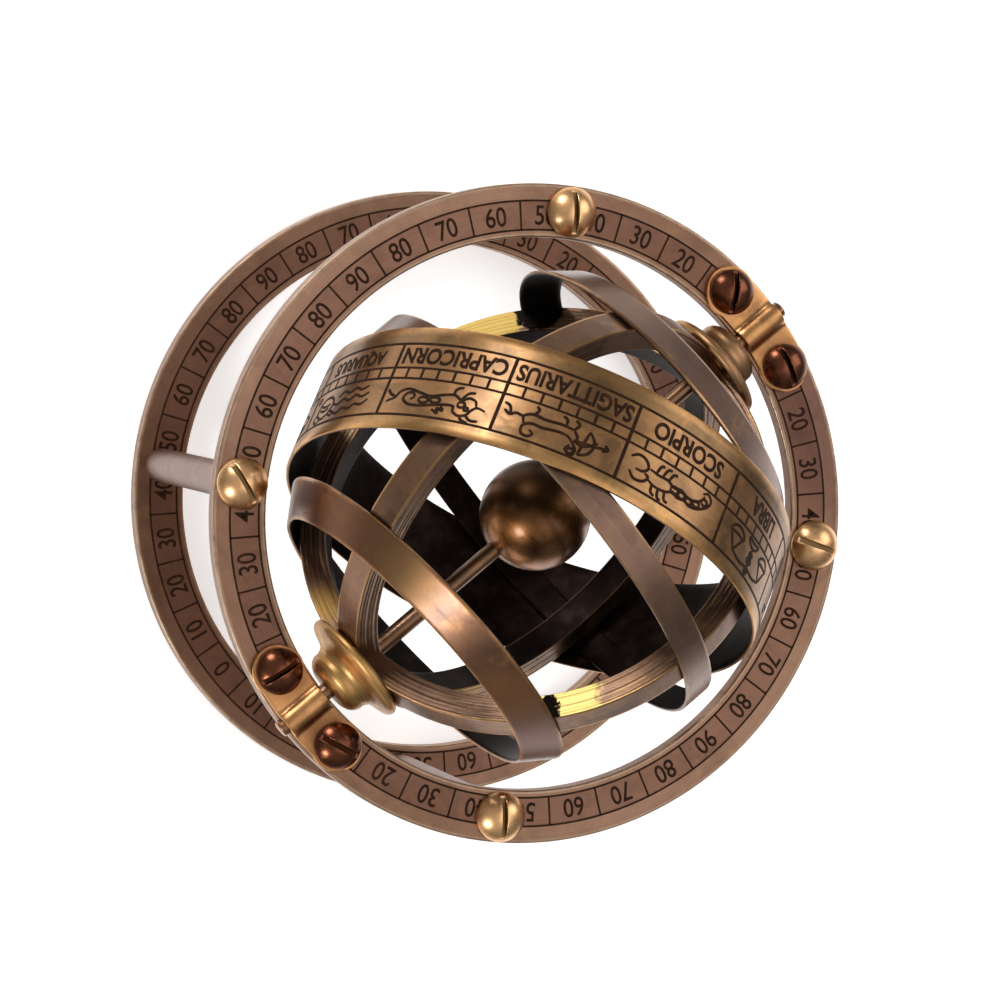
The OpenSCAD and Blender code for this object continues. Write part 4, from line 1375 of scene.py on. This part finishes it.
        [ellipse(-3.1, 2.3, 0.7, 0.75), ellipse(3.1, 2.3, 0.7, 0.75)]),
    "CANCER": (
        [[(-2.4, 0.9), (-3.8, 1.4), (-4.6, 2.4), (-3.6, 3.0), (-2.9, 2.2)],
         [(2.4, 0.9), (3.8, 1.4), (4.6, 2.4), (3.6, 3.0), (2.9, 2.2)],
         [(-2.7, 0.2), (-4.6, 0.4), (-6.2, -0.5)], [(2.7, 0.2), (4.6, 0.4), (6.2, -0.5)],
         [(-2.7, -0.5), (-4.4, -0.7), (-5.6, -1.9)], [(2.7, -0.5), (4.4, -0.7), (5.6, -1.9)],
         [(-2.1, -1.2), (-3.4, -1.8), (-4.0, -2.9)], [(2.1, -1.2), (3.4, -1.8), (4.0, -2.9)],
         [(-1.6, 0.6), (0.0, 0.1), (1.6, 0.6)], [(-1.4, -0.8), (0.0, -0.4), (1.4, -0.8)]],
        [ellipse(0, -0.1, 2.8, 1.6, 0.0, 22), ellipse(-0.8, 1.8, 0.25, 0.25),
         ellipse(0.8, 1.8, 0.25, 0.25)]),
    "LEO": (
        [[(-3.2, 1.2), (-1.6, 1.5), (1.0, 1.1), (3.8, 1.4), (5.3, 0.4), (5.0, -0.9), (3.2, -0.8),
          (0.8, -0.9), (-1.8, -1.0)],
         [(-3.0, 2.0), (-4.2, 2.7), (-5.5, 2.5), (-6.4, 1.5), (-6.4, 0.2), (-5.6, -0.8),
          (-4.4, -1.1), (-3.0, -0.6), (-2.6, 0.6), (-3.0, 2.0)],
         [(-2.2, -0.9), (-3.0, -2.0), (-3.9, -2.9)], [(-1.0, -1.0), (-1.0, -2.0), (-1.7, -2.9)],
         [(3.4, -0.8), (3.4, -1.9), (2.8, -2.9)], [(4.7, -0.9), (5.2, -1.9), (4.7, -2.9)],
         [(5.2, 0.6), (6.6, 0.9), (7.0, 2.0), (6.2, 2.8), (7.4, 3.0)],
         [(-3.4, 1.6), (-2.8, 1.0), (-3.4, 0.4), (-2.9, -0.2)]],
        [ellipse(-4.8, 0.8, 1.0, 1.0), ellipse(-5.1, 1.1, 0.18, 0.18),
         ellipse(-4.4, 1.1, 0.18, 0.18)]),
    "VIRGO": (
        [[(-0.8, 1.6), (-1.6, 0.4), (-1.0, -0.8), (-2.4, -2.9)],
         [(0.8, 1.6), (1.6, 0.4), (1.0, -0.8), (2.4, -2.9)],
         [(-2.4, -2.9), (0.0, -2.5), (2.4, -2.9)], [(-1.1, 1.2), (-2.8, 0.6), (-4.2, 1.6)],
         [(1.1, 1.2), (2.8, 0.4), (4.4, 0.9)], [(-1.0, -0.8), (0.0, -1.0), (1.0, -0.8)],
         [(-4.2, 2.9), (-4.2, 1.6), (-4.6, -0.6)], [(-4.2, 2.9), (-5.0, 2.2), (-4.2, 1.8)],
         [(-4.2, 2.9), (-3.4, 2.2), (-4.2, 1.8)], [(-4.4, 1.0), (-5.2, 0.4), (-4.5, 0.0)],
         [(0.0, -1.2), (0.0, -2.4)], [(-0.5, -1.2), (-1.2, -2.5)], [(0.5, -1.2), (1.2, -2.5)]],
        [ellipse(0, 2.4, 0.7, 0.75), ellipse(5.2, 1.4, 0.6, 0.6)]),
}


def zodiac_etching():
    """Outlines, dividers, ticks, sign names and emblems, laid out flat, thickened and wrapped."""
    low, high = -0.08, 0.03
    top, names, ticks, foot = -6.45, -1.75, 0.3, 7.3
    name_height = 3.2
    along = np.linspace(0, 12 * ROOM, 560)
    flat = []
    for v, width in ((top, 0.46), (names, 0.42), (ticks, 0.42), (foot, 0.46)):
        flat.append(stroke(np.column_stack([along, np.full(560, v)]), width))
    for k in range(13):
        flat.append(stroke([[k * ROOM, top], [k * ROOM, foot]], 0.62))
    for k in range(12 * TICKS_IN_SIGN):
        if k % TICKS_IN_SIGN:
            u = k / TICKS_IN_SIGN * ROOM
            flat.append(stroke([[u, names], [u, ticks]], 0.48))
    for k, sign in enumerate(SIGNS):
        middle = (k + 0.5) * ROOM
        text, tris = lettering(sign, 0.034)
        wide = min(0.86 * name_height, (ROOM - 1.6) / np.ptp(text[:, 0]))
        flat.append((text * [wide, name_height] + [middle, (top + names) / 2], tris))
        lines, loops = EMBLEMS[sign]
        for hand, closed in [(l, False) for l in lines] + [(l, True) for l in loops]:
            curve = smooth_line(hand, 5, closed) * [1.15, 1.03]
            ribbon, quads = stroke(curve, 0.55, closed, 0.3)
            flat.append((ribbon + [middle, (ticks + foot) / 2], quads))
    parts = [plate(points, faces, low, high) for points, faces in flat]
    return merged([(wrap(points, FIRST), faces) for points, faces in parts])


class ARMILLARY_OT_zodiac(bpy.types.Operator):
    """The tilted zodiac band with its sign names, ticks and emblems"""
    bl_idname = "armillary.zodiac"
    bl_label = "Zodiac band"

    def execute(self, context):
        props, finish = context.scene.armillary_sphere, context.scene.armillary_finish
        steps = 480
        profile, edge, inside, across = band_section(ZODIAC_IN, ZODIAC_OUT, ZODIAC_HALF)
        points, faces = revolve(profile, steps)
        paint = metal("zodiac bronze", tuple(finish.gold), dark=0.42, light=1.5, size=110.0,
                      dark_amount=0.85, light_amount=0.6, rough=(0.26, 0.40), lines=1.2, wear=0.85,
                      bump=0.3, inner=tuple(finish.oxide), coat=0.25,
                      rows=((6.45, 10.3, (0.66, 0.65, 0.68)), (1.75, 6.45, (0.88, 0.80, 0.86)),
                            (-7.3, 1.75, (0.97, 0.91, 0.97)), (-10.3, -7.3, (1.14, 1.14, 1.14))))
        make_piece("zodiac_hoop", zodiac_place(points @ ALONG_X.T, props.tilt), faces, "sphere",
                   "zodiac_brass", paint, ["zodiac_band"], 40,
                   **all_round(steps, edge, inside, across))
        points, faces = zodiac_etching()
        make_piece("zodiac_etching", zodiac_place(points, props.tilt), faces, "sphere",
                   "zodiac_brass", fill_paint("zodiac fill", finish.fill))
        return {"FINISHED"}


# ------------------------------------------------------------------- stage

class ARMILLARY_OT_stage(bpy.types.Operator):
    """Pale floor, soft lights and the camera"""
    bl_idname = "armillary.stage"
    bl_label = "Stage"

    def execute(self, context):
        props, scene = context.scene.armillary_stage, context.scene
        size = props.floor_size / 2
        mesh = bpy.data.meshes.new("studio_floor")
        mesh.from_pydata([(-size, -size, 0), (size, -size, 0), (size, size, 0), (-size, size, 0)],
                         [], [(0, 1, 2, 3)])
        floor = bpy.data.objects.new("studio_floor", mesh)
        scene.collection.objects.link(floor)
        material, tree, shader, where = start_material("studio floor")
        away = put(tree, "VectorMath", {0: where}, operation="LENGTH").outputs["Value"]
        near = ramp(tree, away, 0.20, 0.50, 1.0, 0.0)
        pale = blend(tree, noise(tree, where, 3.0, 2.0), (0.90, 0.90, 0.90, 1),
                     (0.93, 0.93, 0.93, 1))
        tone = blend(tree, near, (0.30, 0.29, 0.28, 1), pale)
        glow = blend(tree, near, (0.04, 0.04, 0.04, 1), (1, 1, 1, 1))
        tree.links.new(tone, shader.inputs["Base Color"])
        tree.links.new(glow, shader.inputs["Emission Color"])
        shader.inputs["Roughness"].default_value = 0.9
        shader.inputs["Emission Strength"].default_value = props.floor_glow
        mesh.materials.append(material)
        world = bpy.data.worlds.new("soft surround")
        world.use_nodes = True
        tree = world.node_tree
        back = tree.nodes["Background"]
        up = put(tree, "SeparateXYZ", {0: put(tree, "TexCoord").outputs["Generated"]}).outputs[2]
        sky = blend(tree, ramp(tree, up, 0.0, 0.9), (0.30, 0.30, 0.31, 1), (1.0, 0.99, 0.97, 1))
        tree.links.new(sky, back.inputs[0])
        back.inputs[1].default_value = props.soft_light
        scene.world = world
        for name, place, power, width in (
                ("overhead_panel", (0.30, -0.36, 1.40), 3.6, 1.2),
                ("west_softbox", (-0.87, 0.05, 0.56), 3.4, 0.24),
                ("north_softbox", (0.14, 0.91, 0.45), 3.0, 0.28),
                ("east_panel", (0.86, -0.20, 0.62), 2.2, 0.60)):
            lamp = bpy.data.lights.new(name, "AREA")
            lamp.shape = "SQUARE"
            lamp.size = width
            lamp.energy = power
            item = bpy.data.objects.new(name, lamp)
            scene.collection.objects.link(item)
            item.location = place
            away = np.array(place) - [0, 0, 0.06]
            item.rotation_euler = (math.acos(away[2] / np.linalg.norm(away)), 0,
                                   math.atan2(away[1], away[0]) + math.pi / 2)
        lens = bpy.data.cameras.new("camera")
        lens.lens, lens.sensor_width = props.lens, 36.0
        lens.clip_end = 20.0
        camera = bpy.data.objects.new("camera", lens)
        scene.collection.objects.link(camera)
        camera.matrix_world = Matrix((
            (0.74889, 0.62920, -0.20802, -0.129684),
            (-0.58358, 0.77488, 0.24288, 0.153597),
            (0.31401, -0.06049, 0.94749, 0.643277),
            (0, 0, 0, 1)))
        scene.camera = camera
        scene.view_settings.view_transform = "Standard"
        return {"FINISHED"}


# ---------------------------------------------------------- panel and main

PIECES = ("stage", "dials", "pillars", "screws", "saddles", "axle", "collars", "colures",
          "bands", "zodiac")
SETTINGS = (("armillary_dials", DialSettings), ("armillary_sphere", SphereSettings),
            ("armillary_screws", ScrewSettings), ("armillary_finish", FinishSettings),
            ("armillary_stage", StageSettings))


class ARMILLARY_PT_panel(bpy.types.Panel):
    """Lists the settings and the operators in the sidebar"""
    bl_idname = "ARMILLARY_PT_panel"
    bl_label = "Armillary Sphere"
    bl_space_type = "VIEW_3D"
    bl_region_type = "UI"
    bl_category = "Armillary"

    def draw(self, context):
        for key, group in SETTINGS:
            box = self.layout.box()
            for name in group.__annotations__:
                box.prop(getattr(context.scene, key), name)
        for piece in PIECES:
            self.layout.operator("armillary." + piece)


CLASSES = [group for key, group in SETTINGS] + [
    ARMILLARY_OT_stage, ARMILLARY_OT_dials, ARMILLARY_OT_pillars, ARMILLARY_OT_screws,
    ARMILLARY_OT_saddles, ARMILLARY_OT_axle, ARMILLARY_OT_collars, ARMILLARY_OT_colures,
    ARMILLARY_OT_bands, ARMILLARY_OT_zodiac, ARMILLARY_PT_panel]


def register():
    for item in CLASSES:
        bpy.utils.register_class(item)
    for key, group in SETTINGS:
        setattr(bpy.types.Scene, key, PointerProperty(type=group))


def unregister():
    for key, group in SETTINGS:
        delattr(bpy.types.Scene, key)
    for item in reversed(CLASSES):
        bpy.utils.unregister_class(item)


def main():
    register()
    for piece in PIECES:
        getattr(bpy.ops.armillary, piece)()


if __name__ == "__main__":
    main()
